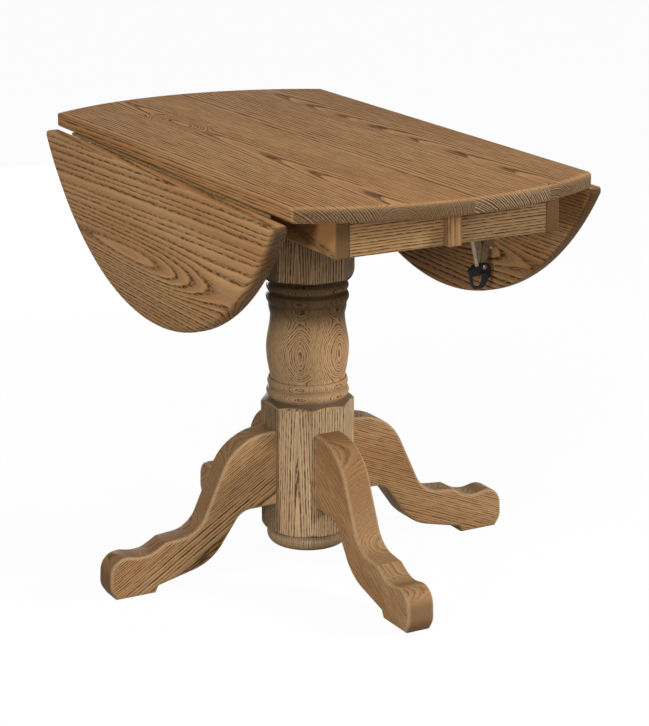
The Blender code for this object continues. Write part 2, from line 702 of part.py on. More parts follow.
def make_bracket(name, holder, flange, pivot, layer, stub_end):
    """Angle bracket: a flange from (x, height, width), an ear out to the pivot, and its pin."""
    low_x, height, width = flange
    near, far = layer
    half = height / 2
    low = (low_x, near, pivot.y - half)
    mesh = box_mesh("flange", low, (low_x + BRACKET_THICK, near + width, pivot.y + half))
    bracket = new_part(name, mesh, STEEL, parent=holder)
    middle = low_x + BRACKET_THICK / 2
    tip = pivot.x + math.copysign(BRACKET_EAR_RADIUS, pivot.x - middle)
    root = half - BRACKET_THICK
    corners = [
        (middle, pivot.y + root, 0),
        (middle, pivot.y - root, 0),
        (tip, pivot.y - BRACKET_EAR_RADIUS, BRACKET_EAR_RADIUS * 0.95),
        (tip, pivot.y + BRACKET_EAR_RADIUS, BRACKET_EAR_RADIUS * 0.95),
    ]
    ear = upright_mesh("ear", [rounded_outline(corners)], near + FIT_GAP, far)
    combine(bracket, "ear", ear, "UNION")
    combine(bracket, "pivot", pivot_stub("pivot", pivot, (near + far) / 2, stub_end), "UNION")


def make_brackets(label, holder):
    """The table bracket on the side rail and the leaf bracket on the leaf's underside."""
    table, _, leaf = support_points()
    layers = support_layers()
    rail = APRON_WIDTH / 2 + FIT_GAP
    flange = (rail, TABLE_BRACKET_HEIGHT, TABLE_BRACKET_WIDTH)
    stub_end = layers["arm"][0] + UPPER_ARM_WALL + FIT_GAP + PIVOT_HEAD_THICK
    make_bracket(label + "_table_bracket", holder, flange, table, layers["table_ear"], stub_end)
    face = HALF_WIDTH + PIN_DROP - FIT_GAP - BRACKET_THICK
    flange = (face, LEAF_BRACKET_HEIGHT, LEAF_BRACKET_WIDTH)
    stub_end = layers["link"][1] + FIT_GAP + PIVOT_HEAD_THICK
    make_bracket(label + "_leaf_bracket", holder, flange, leaf, layers["leaf_ear"], stub_end)


def make_upper_arm(label, holder):
    """Pressed channel arm from the table bracket to the elbow, its web in front, open behind."""
    table, elbow, _ = support_points()
    near, far = support_layers()["arm"]
    reach = elbow - table
    radius = UPPER_ARM_WIDTH / 2
    mesh = upright_mesh("upper_arm", [bar_outline((0, 0), reach, radius)], near, far)
    arm = new_part(label + "_upper_arm", mesh, STEEL, (table.x, 0, table.y), parent=holder)
    inner = bar_outline((0, 0), reach, radius - UPPER_ARM_WALL)
    pocket = upright_mesh("pocket", [inner], near + UPPER_ARM_WALL, far + UPPER_ARM_DEPTH)
    combine(arm, "pocket", pocket)
    hole = PIVOT_RADIUS + PIVOT_CLEARANCE
    holes = [((x, 2 * near, z), (x, 2 * far, z), hole) for x, z in ((0, 0), reach)]
    combine(arm, "pivot_holes", rods_mesh("pivot_holes", holes, PIVOT_SIDES))


def make_lower_arm(label, holder):
    """Flat arm from the leaf bracket to the elbow."""
    _, elbow, leaf = support_points()
    near, far = support_layers()["link"]
    reach = elbow - leaf
    hole = PIVOT_RADIUS + PIVOT_CLEARANCE
    outlines = [bar_outline((0, 0), reach, LOWER_ARM_WIDTH / 2)]
    outlines += [circle_outline((0, 0), hole), circle_outline(reach, hole)]
    mesh = upright_mesh("lower_arm", outlines, near, far)
    new_part(label + "_lower_arm", mesh, STEEL, (leaf.x, 0, leaf.y), parent=holder)


def make_elbow_catch(label, holder):
    """Black catch over the elbow, with the stub that the finger ring turns on."""
    _, elbow, _ = support_points()
    layers = support_layers()
    near, far = layers["catch"]
    corners = [
        (-0.034, -0.005, 0.003),
        (-0.024, 0.007, 0.003),
        (-0.014, -0.001, 0.006),
        (-0.006, 0.007, 0.004),
        (0.007, 0.006, 0.005),
        (0.012, -0.002, 0.004),
        (0.0125, -0.019, 0.004),
        (0.005, -0.022, 0.003),
        (-0.008, -0.0125, 0.003),
        (-0.031, -0.0125, 0.003),
    ]
    outlines = [rounded_outline(corners), circle_outline((0, 0), PIVOT_RADIUS + PIVOT_CLEARANCE)]
    mesh = upright_mesh("elbow_catch", outlines, near, far)
    catch = new_part(label + "_elbow_catch", mesh, BLACK, (elbow.x, 0, elbow.y), parent=holder)
    x, z = RING_PIVOT
    front = layers["ring"][0] - FIT_GAP
    rod = rods_mesh("ring_pivot", [((x, far - FIT_GAP, z), (x, front, z), RING_PIVOT_RADIUS)], PIVOT_SIDES)
    combine(catch, "ring_pivot", rod, "UNION")


def make_elbow_rivet(label, holder):
    """Rivet through the catch and the lower arm, with a domed head in front."""
    _, elbow, _ = support_points()
    layers = support_layers()
    front = layers["catch"][0] - FIT_GAP - PIVOT_HEAD_THICK
    seat = layers["link"][1] + FIT_GAP - front
    back = seat + PIVOT_HEAD_THICK / 2
    profile = [
        (0, back),
        (PIVOT_HEAD_RADIUS * 0.9, back),
        (PIVOT_HEAD_RADIUS * 0.9, seat),
        (PIVOT_RADIUS, seat),
        (PIVOT_RADIUS, PIVOT_HEAD_THICK),
        (PIVOT_HEAD_RADIUS, PIVOT_HEAD_THICK),
        (PIVOT_HEAD_RADIUS * 0.6, 0),
        (0, 0),
    ]
    turn = Matrix.Translation((0, front, 0)) @ Matrix.Rotation(-math.pi / 2, 4, "X")
    rivet = turned_mesh("elbow_rivet", profile, turn, PIVOT_SIDES)
    new_part(label + "_elbow_rivet", rivet, STEEL, (elbow.x, 0, elbow.y), parent=holder)


def make_release_ring(label, holder):
    """Finger ring that turns on the end of the catch to let it go."""
    _, elbow, _ = support_points()
    x, z = RING_PIVOT
    outer = [
        (-0.0335, 0, 0.005),
        (-0.0195, 0, 0.005),
        (-0.012, -0.0095, 0.004),
        (0.002, -0.0105, 0.004),
        (0.005, -0.021, 0.006),
        (-0.004, -0.0365, 0.010),
        (-0.027, -0.0365, 0.009),
        (-0.0335, -0.018, 0.006),
    ]
    finger_hole = [
        (-0.0275, -0.0135, 0.003),
        (-0.0075, -0.0135, 0.003),
        (-0.0095, -0.0320, 0.007),
        (-0.0240, -0.0320, 0.006),
    ]
    shift = Vector((x, z))
    outlines = [[p - shift for p in rounded_outline(corners)] for corners in (outer, finger_hole)]
    outlines.append(circle_outline((0, 0), RING_PIVOT_RADIUS + PIVOT_CLEARANCE))
    mesh = upright_mesh("release_ring", outlines, *support_layers()["ring"])
    place = (elbow.x + x, 0, elbow.y + z)
    new_part(label + "_release_ring", mesh, BLACK, place, parent=holder)


def make_side(label, turn, ends):
    """Leaf, hinge and two folding supports of one side, built at +X and turned to their side."""
    side = new_empty(label + "_side", turn=turn)
    make_leaf(side, label + "_leaf")
    make_hinge(side, label)
    for end, offset in zip(ends, (-SUPPORT_OFFSET, SUPPORT_OFFSET)):
        name = label + "_" + end
        holder = new_empty(name + "_support", (0, offset, 0), parent=side)
        make_brackets(name, holder)
        make_upper_arm(name, holder)
        make_lower_arm(name, holder)
        make_elbow_catch(name, holder)
        make_elbow_rivet(name, holder)
        make_release_ring(name, holder)


for old in list(bpy.data.objects):
    bpy.data.objects.remove(old, do_unlink=True)
PARTS = new_collection("drop_leaf_pedestal_table")
CUTTERS = new_collection("cutters")
OAK = new_material("stained_oak", (0.235, 0.125, 0.055), 0.45)
STEEL = new_material("plated_steel", (0.60, 0.58, 0.54), 0.35, 1.0)
BLACK = new_material("black_catch", (0.015, 0.015, 0.016), 0.5)

make_centre_top()
make_apron()
make_mounting_plate()
make_post()
make_legs()
make_side("right", 0.0, ("front", "back"))
make_side("left", math.pi, ("back", "front"))
print_support_ratios()
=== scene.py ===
# %% [markdown]
# A drop-leaf pedestal table in stained oak. A fixed middle board carries a half-round leaf on
# each long side, and both leaves hang down. A turned post with four shaped legs carries the top.
# The solid model comes in as a fixed frame, and this lesson dresses it: first the camera and the
# room, then finer skins for the wooden pieces and the small screws that the solid model leaves
# out, and at last the finishes of the wood and of the metal.

# %% Load the solid model
import math
from functools import partial

import bpy
import numpy as np
from mathutils import Matrix, Vector


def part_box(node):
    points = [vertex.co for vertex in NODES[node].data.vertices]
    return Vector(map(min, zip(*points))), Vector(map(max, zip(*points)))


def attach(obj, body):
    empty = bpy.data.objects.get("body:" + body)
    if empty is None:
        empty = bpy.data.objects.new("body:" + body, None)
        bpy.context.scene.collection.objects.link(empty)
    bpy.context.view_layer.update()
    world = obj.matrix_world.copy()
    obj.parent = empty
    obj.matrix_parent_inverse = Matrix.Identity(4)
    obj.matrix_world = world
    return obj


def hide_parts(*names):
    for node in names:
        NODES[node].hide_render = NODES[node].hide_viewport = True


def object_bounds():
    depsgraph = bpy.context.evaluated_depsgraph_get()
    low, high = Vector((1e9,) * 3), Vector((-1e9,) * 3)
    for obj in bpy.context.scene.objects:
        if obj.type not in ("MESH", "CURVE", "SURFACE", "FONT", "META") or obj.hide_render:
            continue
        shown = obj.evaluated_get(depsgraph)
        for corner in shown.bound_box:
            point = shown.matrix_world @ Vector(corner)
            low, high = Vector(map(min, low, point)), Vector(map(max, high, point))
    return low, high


MM_PER_M = 1000.0

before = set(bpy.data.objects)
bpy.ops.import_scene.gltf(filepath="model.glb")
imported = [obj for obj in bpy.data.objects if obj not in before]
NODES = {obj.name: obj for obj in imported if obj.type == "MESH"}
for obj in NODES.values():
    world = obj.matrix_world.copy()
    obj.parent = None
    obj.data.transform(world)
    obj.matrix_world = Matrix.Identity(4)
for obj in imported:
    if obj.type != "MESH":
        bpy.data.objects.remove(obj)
CAD_BOX = [list(corner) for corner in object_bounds()]
TOP_HEIGHT = CAD_BOX[1][2]
print(f"{len(NODES)} solid pieces, the top {TOP_HEIGHT * MM_PER_M:.1f} mm above the floor")

# %% [markdown]
# The photograph was taken with a long lens from the front left, above the top. A camera is set by
# where it stands, by how far it is turned from straight ahead (yaw), by how far it looks down
# (pitch) and by its focal length. These four were found by laying the model's outline over the
# photograph's until the two agreed, to a pixel or two along most of it.

# %% Camera
PHOTO_HEIGHT_PX = 726
FOCAL_LENGTH_PX = 2309.3
CAMERA_PLACE = (-1.855874, -3.446347, 1.520134)
CAMERA_YAW = math.radians(28.742)
CAMERA_PITCH = math.radians(16.418)
SENSOR_HEIGHT = 36.0


def into_scene(name, data):
    """An object that shows the data, linked into the scene at the origin."""
    thing = bpy.data.objects.new(name, data)
    bpy.context.scene.collection.objects.link(thing)
    return thing


camera_data = bpy.data.cameras.new("camera")
camera_data.sensor_fit = "VERTICAL"
camera_data.sensor_height = SENSOR_HEIGHT
camera_data.lens = FOCAL_LENGTH_PX * SENSOR_HEIGHT / PHOTO_HEIGHT_PX
camera = into_scene("camera", camera_data)
camera.location = CAMERA_PLACE
camera.rotation_euler = (math.pi / 2 - CAMERA_PITCH, 0, -CAMERA_YAW)
bpy.context.scene.camera = camera
bpy.context.scene.view_settings.view_transform = "Standard"
print(f"lens {camera_data.lens:.1f} mm")

# %% [markdown]
# Shader nodes are easier to read when one line makes a node and joins its inputs. `add` does that
# for any node: an input takes either a plain value or the output of another node. `calc` is the
# same for one step of arithmetic, and `ramp` for a smooth step from one number to another.

# %% Helpers that make nodes


def feed(tree, node, values):
    """Joins each socket to the node's input of that name or number, or sets a plain value there."""
    for key, value in values.items():
        if isinstance(value, bpy.types.NodeSocket):
            tree.links.new(value, node.inputs[key])
        else:
            node.inputs[key].default_value = value


def add(tree, kind, values=None, **settings):
    """The outputs of a new shader node, with its settings made and its inputs fed."""
    node = tree.nodes.new(f"ShaderNode{kind}")
    for name, value in settings.items():
        setattr(node, name, value)
    feed(tree, node, values or {})
    return node.outputs


def calc(tree, operation, *terms):
    """The result of one arithmetic step on one, two or three numbers or sockets."""
    return add(tree, "Math", dict(enumerate(terms)), operation=operation)[0]


def ramp(tree, value, low, high, out_low=0.0, out_high=1.0):
    """A smooth step: out_low below low, out_high above high, and an S-curve between them."""
    values = {"Value": value, "From Min": low, "From Max": high}
    values.update({"To Min": out_low, "To Max": out_high})
    return add(tree, "MapRange", values, interpolation_type="SMOOTHSTEP")[0]


def mix_value(tree, factor, first, second):
    """A number between first and second, which are inputs 2 and 3 of a Mix node."""
    return add(tree, "Mix", {0: factor, 2: first, 3: second})[0]


def mix_colour(tree, factor, first, second, blend="MIX"):
    """A colour between first and second, which are inputs 6 and 7 of a Mix node."""
    values = {0: factor, 6: first, 7: second}
    return add(tree, "Mix", values, data_type="RGBA", blend_type=blend)[2]


def new_material(name):
    """A material, its node tree, and the shader that it starts with."""
    material = bpy.data.materials.new(name)
    material.use_nodes = True
    return material, material.node_tree, material.node_tree.nodes["Principled BSDF"]


# %% [markdown]
# The table stands on a plain pale floor in front of nothing, so the background is white. The floor
# is a large disc. To the camera it glows almost white and keeps a faint shadow. To the light that
# bounces around it is a plain grey surface, so it doesn't light the underside too much.

# %% Floor and world
FLOOR_RADIUS = 30.0
FLOOR_SIDES = 96
FLOOR_COLOUR = (0.25, 0.24, 0.22, 1)
WHITE = (1, 1, 1, 1)
FLOOR_GLOW_SHARE = 0.96
AMBIENT = 0.12


def seen_directly(tree):
    """1 for rays of the camera, of mirrors and of glass, 0 for the rays that carry soft light."""
    path = add(tree, "LightPath")
    seen = calc(tree, "MAXIMUM", path["Is Camera Ray"], path["Is Glossy Ray"])
    return calc(tree, "MAXIMUM", seen, path["Is Transmission Ray"])


def mix_shader(tree, factor, first, second):
    """A shader between first and second."""
    return add(tree, "MixShader", {0: factor, 1: first[0], 2: second[0]})


def floor_mesh():
    """A flat disc: points at equal angles round a circle, joined by one face."""
    turn = np.linspace(0, 2 * math.pi, FLOOR_SIDES, endpoint=False)
    points = FLOOR_RADIUS * np.stack([np.cos(turn), np.sin(turn), 0 * turn], 1)
    mesh = bpy.data.meshes.new("floor")
    mesh.from_pydata(points, [], [tuple(range(FLOOR_SIDES))])
    return mesh


floor = into_scene("floor", floor_mesh())

floor_material, tree, _ = new_material("pale_floor")
tree.nodes.clear()
soft = add(tree, "BsdfDiffuse", {"Color": FLOOR_COLOUR})
lit = add(tree, "BsdfDiffuse", {"Color": WHITE})
glow = add(tree, "Emission", {"Color": WHITE, "Strength": 1.0})
chosen = mix_shader(tree, seen_directly(tree), soft, mix_shader(tree, FLOOR_GLOW_SHARE, lit, glow))
add(tree, "OutputMaterial", {"Surface": chosen[0]})
floor.data.materials.append(floor_material)

world = bpy.data.worlds.new("white_room")
bpy.context.scene.world = world
world.use_nodes = True
tree = world.node_tree
tree.nodes.clear()
strength = calc(tree, "MAXIMUM", seen_directly(tree), AMBIENT)
background = add(tree, "Background", {"Color": WHITE, "Strength": strength})
add(tree, "OutputWorld", {"Surface": background[0]})
print(f"floor {2 * FLOOR_RADIUS:.0f} m across, soft light {AMBIENT}")

# %% [markdown]
# Five soft discs light the table. The key stands well to the right, because the block in the middle
# of the end rail throws its shadow to the left, and the right leaf keeps the top of the post dark.
# A second lamp, about a metre to the right of the camera, lights the front of the post, and two on
# the left, one of them high, light the hanging leaf and the top. A low one behind shows the back,
# and stays below the top so that it puts no shine on it.

# %% Lamps
# Each lamp: its place and the width of its disc in metres, and its power in watts.
LAMPS = {
    "key_right": ((3.2, -2.3, 1.7), 0.9, 145.0),
    "camera_side": ((-0.6, -3.8, 1.6), 0.9, 46.0),
    "low_left": ((-3.4, -2.0, 1.1), 0.9, 54.0),
    "high_left": ((-2.6, -1.5, 3.0), 0.9, 52.0),
    "low_back": ((0.6, 3.6, 0.45), 0.6, 70.0),
}
LAMP_TARGET = Vector((0.0, 0.0, 0.45))

for name, (place, size, power) in LAMPS.items():
    lamp_data = bpy.data.lights.new(name, "AREA")
    lamp_data.shape = "DISK"
    lamp_data.size = size
    lamp_data.energy = power
    lamp = into_scene(name, lamp_data)
    lamp.location = place
    lamp.rotation_euler = (LAMP_TARGET - lamp.location).to_track_quat("-Z", "Y").to_euler()
print(f"{len(LAMPS)} lamps")

# %% [markdown]
# The solid model keeps its curves to a few flat steps. The pieces that the eye follows closely get
# a finer skin of the same size in the same place: the three boards of the top, the post and the
# legs. Each skin is a set of rings of points. Neighbouring rings are joined by four-sided faces,
# and the first and last rings are closed by one flat face. A mark called `edge` is kept with each
# point, above 0 on a rounded edge and 0 on a flat face, for the finish to read as wear and a
# painted highlight.

# %% A skin over rings of points


def ring_faces(index):
    """Quads between the rows of an index grid (rows, points), and a flat face at each end."""
    beside = np.roll(index, -1, axis=1)
    quads = np.stack([index[:-1], beside[:-1], beside[1:], index[1:]], axis=-1).reshape(-1, 4)
    return quads.tolist() + [index[0, ::-1].tolist(), index[-1].tolist()]


def rings_mesh(name, rings, edge):
    """A closed skin over rings (rows, points, 3), with the mark of each row kept on its points."""
    rows, count = rings.shape[:2]
    index = np.arange(rows * count).reshape(rows, count)
    mesh = bpy.data.meshes.new(name)
    mesh.from_pydata(rings.reshape(-1, 3), [], ring_faces(index))
    mark = mesh.attributes.new("edge", "FLOAT", "POINT")
    mark.data.foreach_set("value", np.repeat(edge, count).astype(np.float32))
    mesh.shade_smooth()
    for end in mesh.polygons[-2:]:
        end.use_smooth = False
    return mesh


def add_piece(name, mesh, body, node=None):
    """A piece that rides on the body, in place of any node named."""
    piece = into_scene(name, mesh)
    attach(piece, body)
    if node:
        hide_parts(node)
    print(f"{name}: {len(mesh.vertices)} points on {body}, in place of {node}")
    return piece


# %% [markdown]
# The top is one round of 1067 mm, sawn into a middle board and two leaves. A router rounds the
# upper edge along the curve, and the straight edges at the hinges are only eased. The outline is
# an arc and a straight line with a small round at each corner. Setting the arc and the line in by
# different amounts gives the outline at each height of the rounded edge.

# %% Outline of a board
TOP_RADIUS = 0.5334
TOP_THICK = 0.0254
HALF_WIDTH = 0.273
LEAF_GAP = 0.0006
UNDERSIDE = TOP_HEIGHT - TOP_THICK
LEAF_START = HALF_WIDTH + LEAF_GAP
CORNER_ROUND = 0.008
CORNER_POINTS = 9
ARC_POINTS = 97
EDGE_POINTS = 25


def arc(centre, radius, start, end, count):
    """Points of a circle from one angle to another."""
    angle = np.linspace(start, end, count)
    return centre + radius * np.stack([np.cos(angle), np.sin(angle)], 1)


def corner(line, radius, corner_round, inside):
    """Middle of the small round that touches the line x = line and the big circle from within."""
    x = line - inside * corner_round
    y = math.sqrt((radius - corner_round) ** 2 - x**2)
    return x, y, math.atan2(y, x)


def middle_outline(line, radius, corner_round):
    """The middle board: up the right edge, along the back arc, down the left, along the front."""
    x, y, turn = corner(line, radius, corner_round, 1)
    edge = np.stack([np.full(EDGE_POINTS, line), np.linspace(-y, y, EDGE_POINTS)], 1)
    round_off = arc((x, y), corner_round, 0, turn, CORNER_POINTS)[1:]
    back = arc((0, 0), radius, turn, math.pi - turn, ARC_POINTS)[1:-1]
    half = np.concatenate([edge, round_off, back, (round_off * (-1, 1))[::-1]])
    rise = np.linspace(0, 1, CORNER_POINTS)[1:]
    share = np.concatenate([np.zeros(EDGE_POINTS), rise, np.ones(ARC_POINTS - 2), rise[::-1]])
    return np.concatenate([half, -half]), np.concatenate([share, share])


def leaf_outline(line, radius, corner_round):
    """A leaf, as if raised on the right: round the arc, then back along the hinge edge."""
    x, y, turn = corner(line, radius, corner_round, -1)
    sweep = arc((0, 0), radius, -turn, turn, ARC_POINTS)
    round_off = arc((x, y), corner_round, turn, math.pi, CORNER_POINTS)[1:]
    edge = np.stack([np.full(EDGE_POINTS, line), np.linspace(y, -y, EDGE_POINTS)], 1)[1:-1]
    points = np.concatenate([sweep, round_off, edge, (round_off * (1, -1))[::-1]])
    fade = np.linspace(1, 0, CORNER_POINTS)[1:]
    share = np.concatenate([np.ones(ARC_POINTS), fade, np.zeros(EDGE_POINTS - 2), fade[::-1]])
    return points, share


corner_y = corner(HALF_WIDTH, TOP_RADIUS, CORNER_ROUND, 1)[1]
print(f"the hinge edge is straight for {2 * corner_y * MM_PER_M:.0f} mm")

# %% [markdown]
# The section of the edge is the same for every board: an eased lower corner, an upright part and a
# quarter-round on top. `share` says how much of the full round a point gets: all of it on the
# curve, next to none at the hinge, and something between on the corner.

# %% Boards of the top
EDGE_ROUND = 0.011
EDGE_EASE = 0.004
HINGE_EASE = 0.003
RIM = 0.006
TIGHTEST_CORNER = 0.001
ROUND_STEPS = 8
# Wear and a painted highlight on the upper round of the top's curved edge.
TOP_EDGE_WEAR_AND_HIGHLIGHT = 0.3
PIN_BELOW = 0.003


def edge_section():
    """Rows of (amount set in, height left, flat rim, upper half) from the bottom to the top."""
    turn = np.linspace(0, math.pi / 2, ROUND_STEPS)
    low = np.stack([1 - np.sin(turn), 1 - np.cos(turn), 0 * turn, 0 * turn], 1)
    high = np.stack([1 - np.cos(turn), 1 - np.sin(turn), 0 * turn, 0 * turn + 1], 1)
    return np.concatenate([[[1, 0, 1, 0]], low, high, [[1, 0, 1, 1]]])


def board_rings(outline, line, inward, low, high):
    """Rings up the edge: each point is set in by round times share, at the height left over."""
    rings = []
    for set_in, left, rim, upper in edge_section():
        big = EDGE_ROUND if upper else EDGE_EASE
        on_arc = big * set_in + RIM * rim
        on_line = HINGE_EASE * set_in + RIM * rim
        corner_round = max(CORNER_ROUND - on_line, TIGHTEST_CORNER)
        points, share = outline(line + inward * on_line, TOP_RADIUS - on_arc, corner_round)
        rise = (HINGE_EASE + (big - HINGE_EASE) * share) * left
        height = high - rise if upper else low + rise
        rings.append(np.column_stack([points, height]))
    return np.stack(rings)


section = edge_section()
worn_and_highlit = TOP_EDGE_WEAR_AND_HIGHLIGHT * section[:, 3] * (section[:, 2] == 0) * np.sin(np.pi * section[:, 0])
rings = board_rings(middle_outline, HALF_WIDTH, -1, UNDERSIDE, TOP_HEIGHT)
mesh = rings_mesh("top_board", rings, worn_and_highlit)
top_board = add_piece("top_board", mesh, "table_frame", "centre_top")

# A leaf is worked out level, then hung by a quarter turn about its hinge pin.
PIN_HEIGHT = UNDERSIDE - PIN_BELOW
level = board_rings(leaf_outline, LEAF_START, 1, UNDERSIDE, TOP_HEIGHT)
hung_x = HALF_WIDTH + level[..., 2] - PIN_HEIGHT
hung_z = PIN_HEIGHT + HALF_WIDTH - level[..., 0]
hung = np.stack([hung_x, level[..., 1], hung_z], -1)
HALF_ROUNDS = {"right": 1, "left": -1}
leaf_boards = {}
for side, turn in HALF_ROUNDS.items():
    mesh = rings_mesh(f"{side}_leaf_board", hung * (turn, turn, 1), 0 * worn_and_highlit)
    leaf_boards[side] = add_piece(f"{side}_leaf_board", mesh, f"{side}_leaf_body", f"{side}_leaf")

# %% [markdown]
# The post starts as an eight-sided blank, and a lathe then cuts the beads and the vase into it.
# What is left at any height and angle is the smaller of two radii: that of the turned outline and
# that of the blank. So the surface is a function of angle and height. A little smoothing where the
# two meet leaves the soft arris that sanding gives.

# %% Outline of the post
POST_FLATS = 0.154
BLANK_SIDES = 8
OUTSIDE_BLANK = POST_FLATS / 2 / math.cos(math.pi / BLANK_SIDES) + 0.0012
QUARTER_POINTS = 15
BEAD_POINTS = 17
VASE_POINTS = 33


def quarter(start, end):
    """A quarter ellipse from upright at the start to level at the end."""
    turn = np.linspace(0, math.pi / 2, QUARTER_POINTS)
    radius = end[0] + (start[0] - end[0]) * np.cos(turn)
    return np.stack([radius, start[1] + (end[1] - start[1]) * np.sin(turn)], 1)


def bead(edge, crown, top, bottom):
    """A half-round bead: a half sine over its height."""
    fall = np.linspace(0, 1, BEAD_POINTS)
    return np.stack([edge + (crown - edge) * np.sin(np.pi * fall), top + (bottom - top) * fall], 1)


def vase(neck, belly, foot):
    """The vase: half a cosine wave from neck to belly, then a quarter wave in to the foot."""
    neck, belly, foot = np.array([neck, belly, foot])
    fall = np.linspace(0, 1, VASE_POINTS)[:, None]
    upper = neck + (belly - neck) * np.concatenate([(1 - np.cos(np.pi * fall)) / 2, fall], 1)
    lower = foot + (belly - foot) * np.concatenate([np.cos(np.pi * fall / 2), 1 - fall], 1)
    return np.concatenate([upper, lower[1:]])


# Radius and height, in metres, from the tenon at the top to the foot.
POST_PROFILE = [
    [(0.020, 0.7400), (0.034, 0.7400), (0.034, 0.7210), (OUTSIDE_BLANK, 0.7210)],
    quarter((OUTSIDE_BLANK, 0.542), (0.069, 0.523)),
    bead(0.069, 0.0725, 0.519, 0.5025),
    bead(0.069, 0.0733, 0.5025, 0.481)[1:],
    [(0.069, 0.474)],
    vase((0.0659, 0.460), (0.0733, 0.399), (0.0670, 0.350)),
    [(0.067, 0.345)],
    bead(0.069, 0.0715, 0.345, 0.330),
    bead(0.069, 0.0736, 0.330, 0.310)[1:],
    [(OUTSIDE_BLANK, 0.301)],
    quarter((OUTSIDE_BLANK, 0.0815), (0.072, 0.0655)),
    [(0.072, 0.0578)],
    quarter((0.0736, 0.054), (0.060, 0.037)),
]
post_profile = np.concatenate([np.asarray(part, float) for part in POST_PROFILE])
print(f"the post's outline has {len(post_profile)} points")

# %% [markdown]
# A smooth skin needs a row of points about every millimetre where the outline bends. Where it runs
# straight up the rows between are left out, since they would add faces and no shape.

# %% Turned post
POINTS_PER_SIDE = 18
PROFILE_STEP = 0.001
MICROMETRE_DIGITS = 6
STRAIGHT_WINDOW = 9
STRAIGHT_WITHIN = 1e-9
MEETING_SOFTNESS = 0.0008
POST_CREASE = math.radians(38)


def finely(profile):
    """The same outline with points a step apart, thinned out where it runs straight up."""
    step = np.linalg.norm(np.diff(profile, axis=0), axis=1)
    length = np.concatenate([[0], np.cumsum(step)])
    even = np.arange(0, length[-1], PROFILE_STEP)
    where = np.unique(np.round(np.concatenate([even, length]), MICROMETRE_DIGITS))
    fine = np.stack([np.interp(where, length, profile[:, k]) for k in (0, 1)], 1)
    windows = np.lib.stride_tricks.sliding_window_view(fine[:, 0], STRAIGHT_WINDOW)
    bends = np.ptp(windows, axis=1) > STRAIGHT_WITHIN
    return fine[np.pad(bends, STRAIGHT_WINDOW // 2, constant_values=True)]


def post_rings():
    """Radius = the softer minimum of the turned outline and of the eight flats, at each angle."""
    profile = finely(post_profile)[::-1]
    side = 2 * math.pi / BLANK_SIDES
    angle = np.linspace(0, 2 * math.pi, BLANK_SIDES * POINTS_PER_SIDE, endpoint=False) + side / 2
    from_flat = (angle + side / 2) % side - side / 2
    blank = POST_FLATS / 2 / np.cos(from_flat)
    turned = profile[:, :1]
    apart = np.sqrt((turned - blank) ** 2 + MEETING_SOFTNESS**2)
    radius = np.minimum((turned + blank - apart) / 2, turned)
    height = np.broadcast_to(profile[:, 1:], radius.shape)
    return np.stack([radius * np.cos(angle), radius * np.sin(angle), height], -1)


rings = post_rings()
post_mesh = rings_mesh("turned_post", rings, np.zeros(len(rings)))
post_mesh.set_sharp_from_angle(angle=POST_CREASE)
turned_post = add_piece("turned_post", post_mesh, "table_frame", "pedestal_post")

# %% [markdown]
# Each leg is bandsawn from a thick board to a drawn outline, and a router rounds the edges of both
# faces. The outline is a list of corners with the radius of the curve at each. To round an edge,
# every line of the outline moves in by the same amount and the corners are worked out afresh: a
# bulging corner gets tighter and a hollow one wider. The line against the post stays where it is.
# A point is one complex number here, its height the imaginary part, so to turn is to multiply.

# %% Outline of a leg
LEG_ROOT = POST_FLATS / 2 + 0.0003
CURVE_POINTS = 14
TIGHTEST = 0.0002
# Out from the post's axis, height and radius of the curve, from the shoulder to the toe and back.
LEG_CORNERS = [
    (LEG_ROOT, 0.260, 0.0),
    (0.156, 0.2555, 0.098),
    (0.229, 0.095, 0.055),
    (0.292, 0.089, 0.0012),
    (0.328, 0.068, 0.060),
    (0.396, 0.083, 0.032),
    (0.3990, 0.018, 0.030),
    (0.387, 0.000, 0.0015),
    (0.313, 0.000, 0.0015),
    (0.307, 0.012, 0.0015),
    (0.203, 0.037, 0.095),
    (0.144, 0.1215, 0.036),
    (LEG_ROOT, 0.1215, 0.0),
]
LEG_CORNERS = np.array(LEG_CORNERS[::-1])


def leg_outline(set_in):
    """The outline moved in by set_in, each corner an arc between the two lines that meet there."""
    place = LEG_CORNERS[:, 0] + 1j * LEG_CORNERS[:, 1]
    along = np.roll(place, -1) - place
    along = along / abs(along)
    moved = np.full(len(place), set_in)
    moved[-1] = 0.0
    start = place + 1j * along * moved
    before, before_start = np.roll(along, 1), np.roll(start, 1)
    turn = along / before
    reach = ((start - before_start).conj() * along).imag / turn.imag
    bulge = np.sign(turn.imag)
    drawn = LEG_CORNERS[:, 2]
    radius = np.maximum(drawn - bulge * set_in * (drawn > 0), TIGHTEST)
    half = abs(np.angle(turn)) / 2
    first = before_start + before * (reach - radius * np.tan(half))
    spoke = -1j * bulge * radius * before
    sweep = (bulge * 2 * half)[:, None] * np.linspace(0, 1, CURVE_POINTS)
    points = ((first - spoke)[:, None] + spoke[:, None] * np.exp(1j * sweep)).ravel()
    return np.stack([points.real, points.imag], 1)


print(f"a leg reaches {leg_outline(0.0)[:, 0].max() * MM_PER_M:.1f} mm from the post's axis")

# %% [markdown]
# The four legs are one shape, turned by a quarter each. Its rings run from one face to the other,
# set in at both by a quarter round, and a narrow rim keeps the flat faces flat in the shading.

# %% Shaped legs
LEG_HALF_THICK = 0.0254
LEG_EDGE_ROUND = 0.006
LEG_RIM = 0.004
LEG_TURNS = {"right": 0, "back": 1, "left": 2, "front": 3}


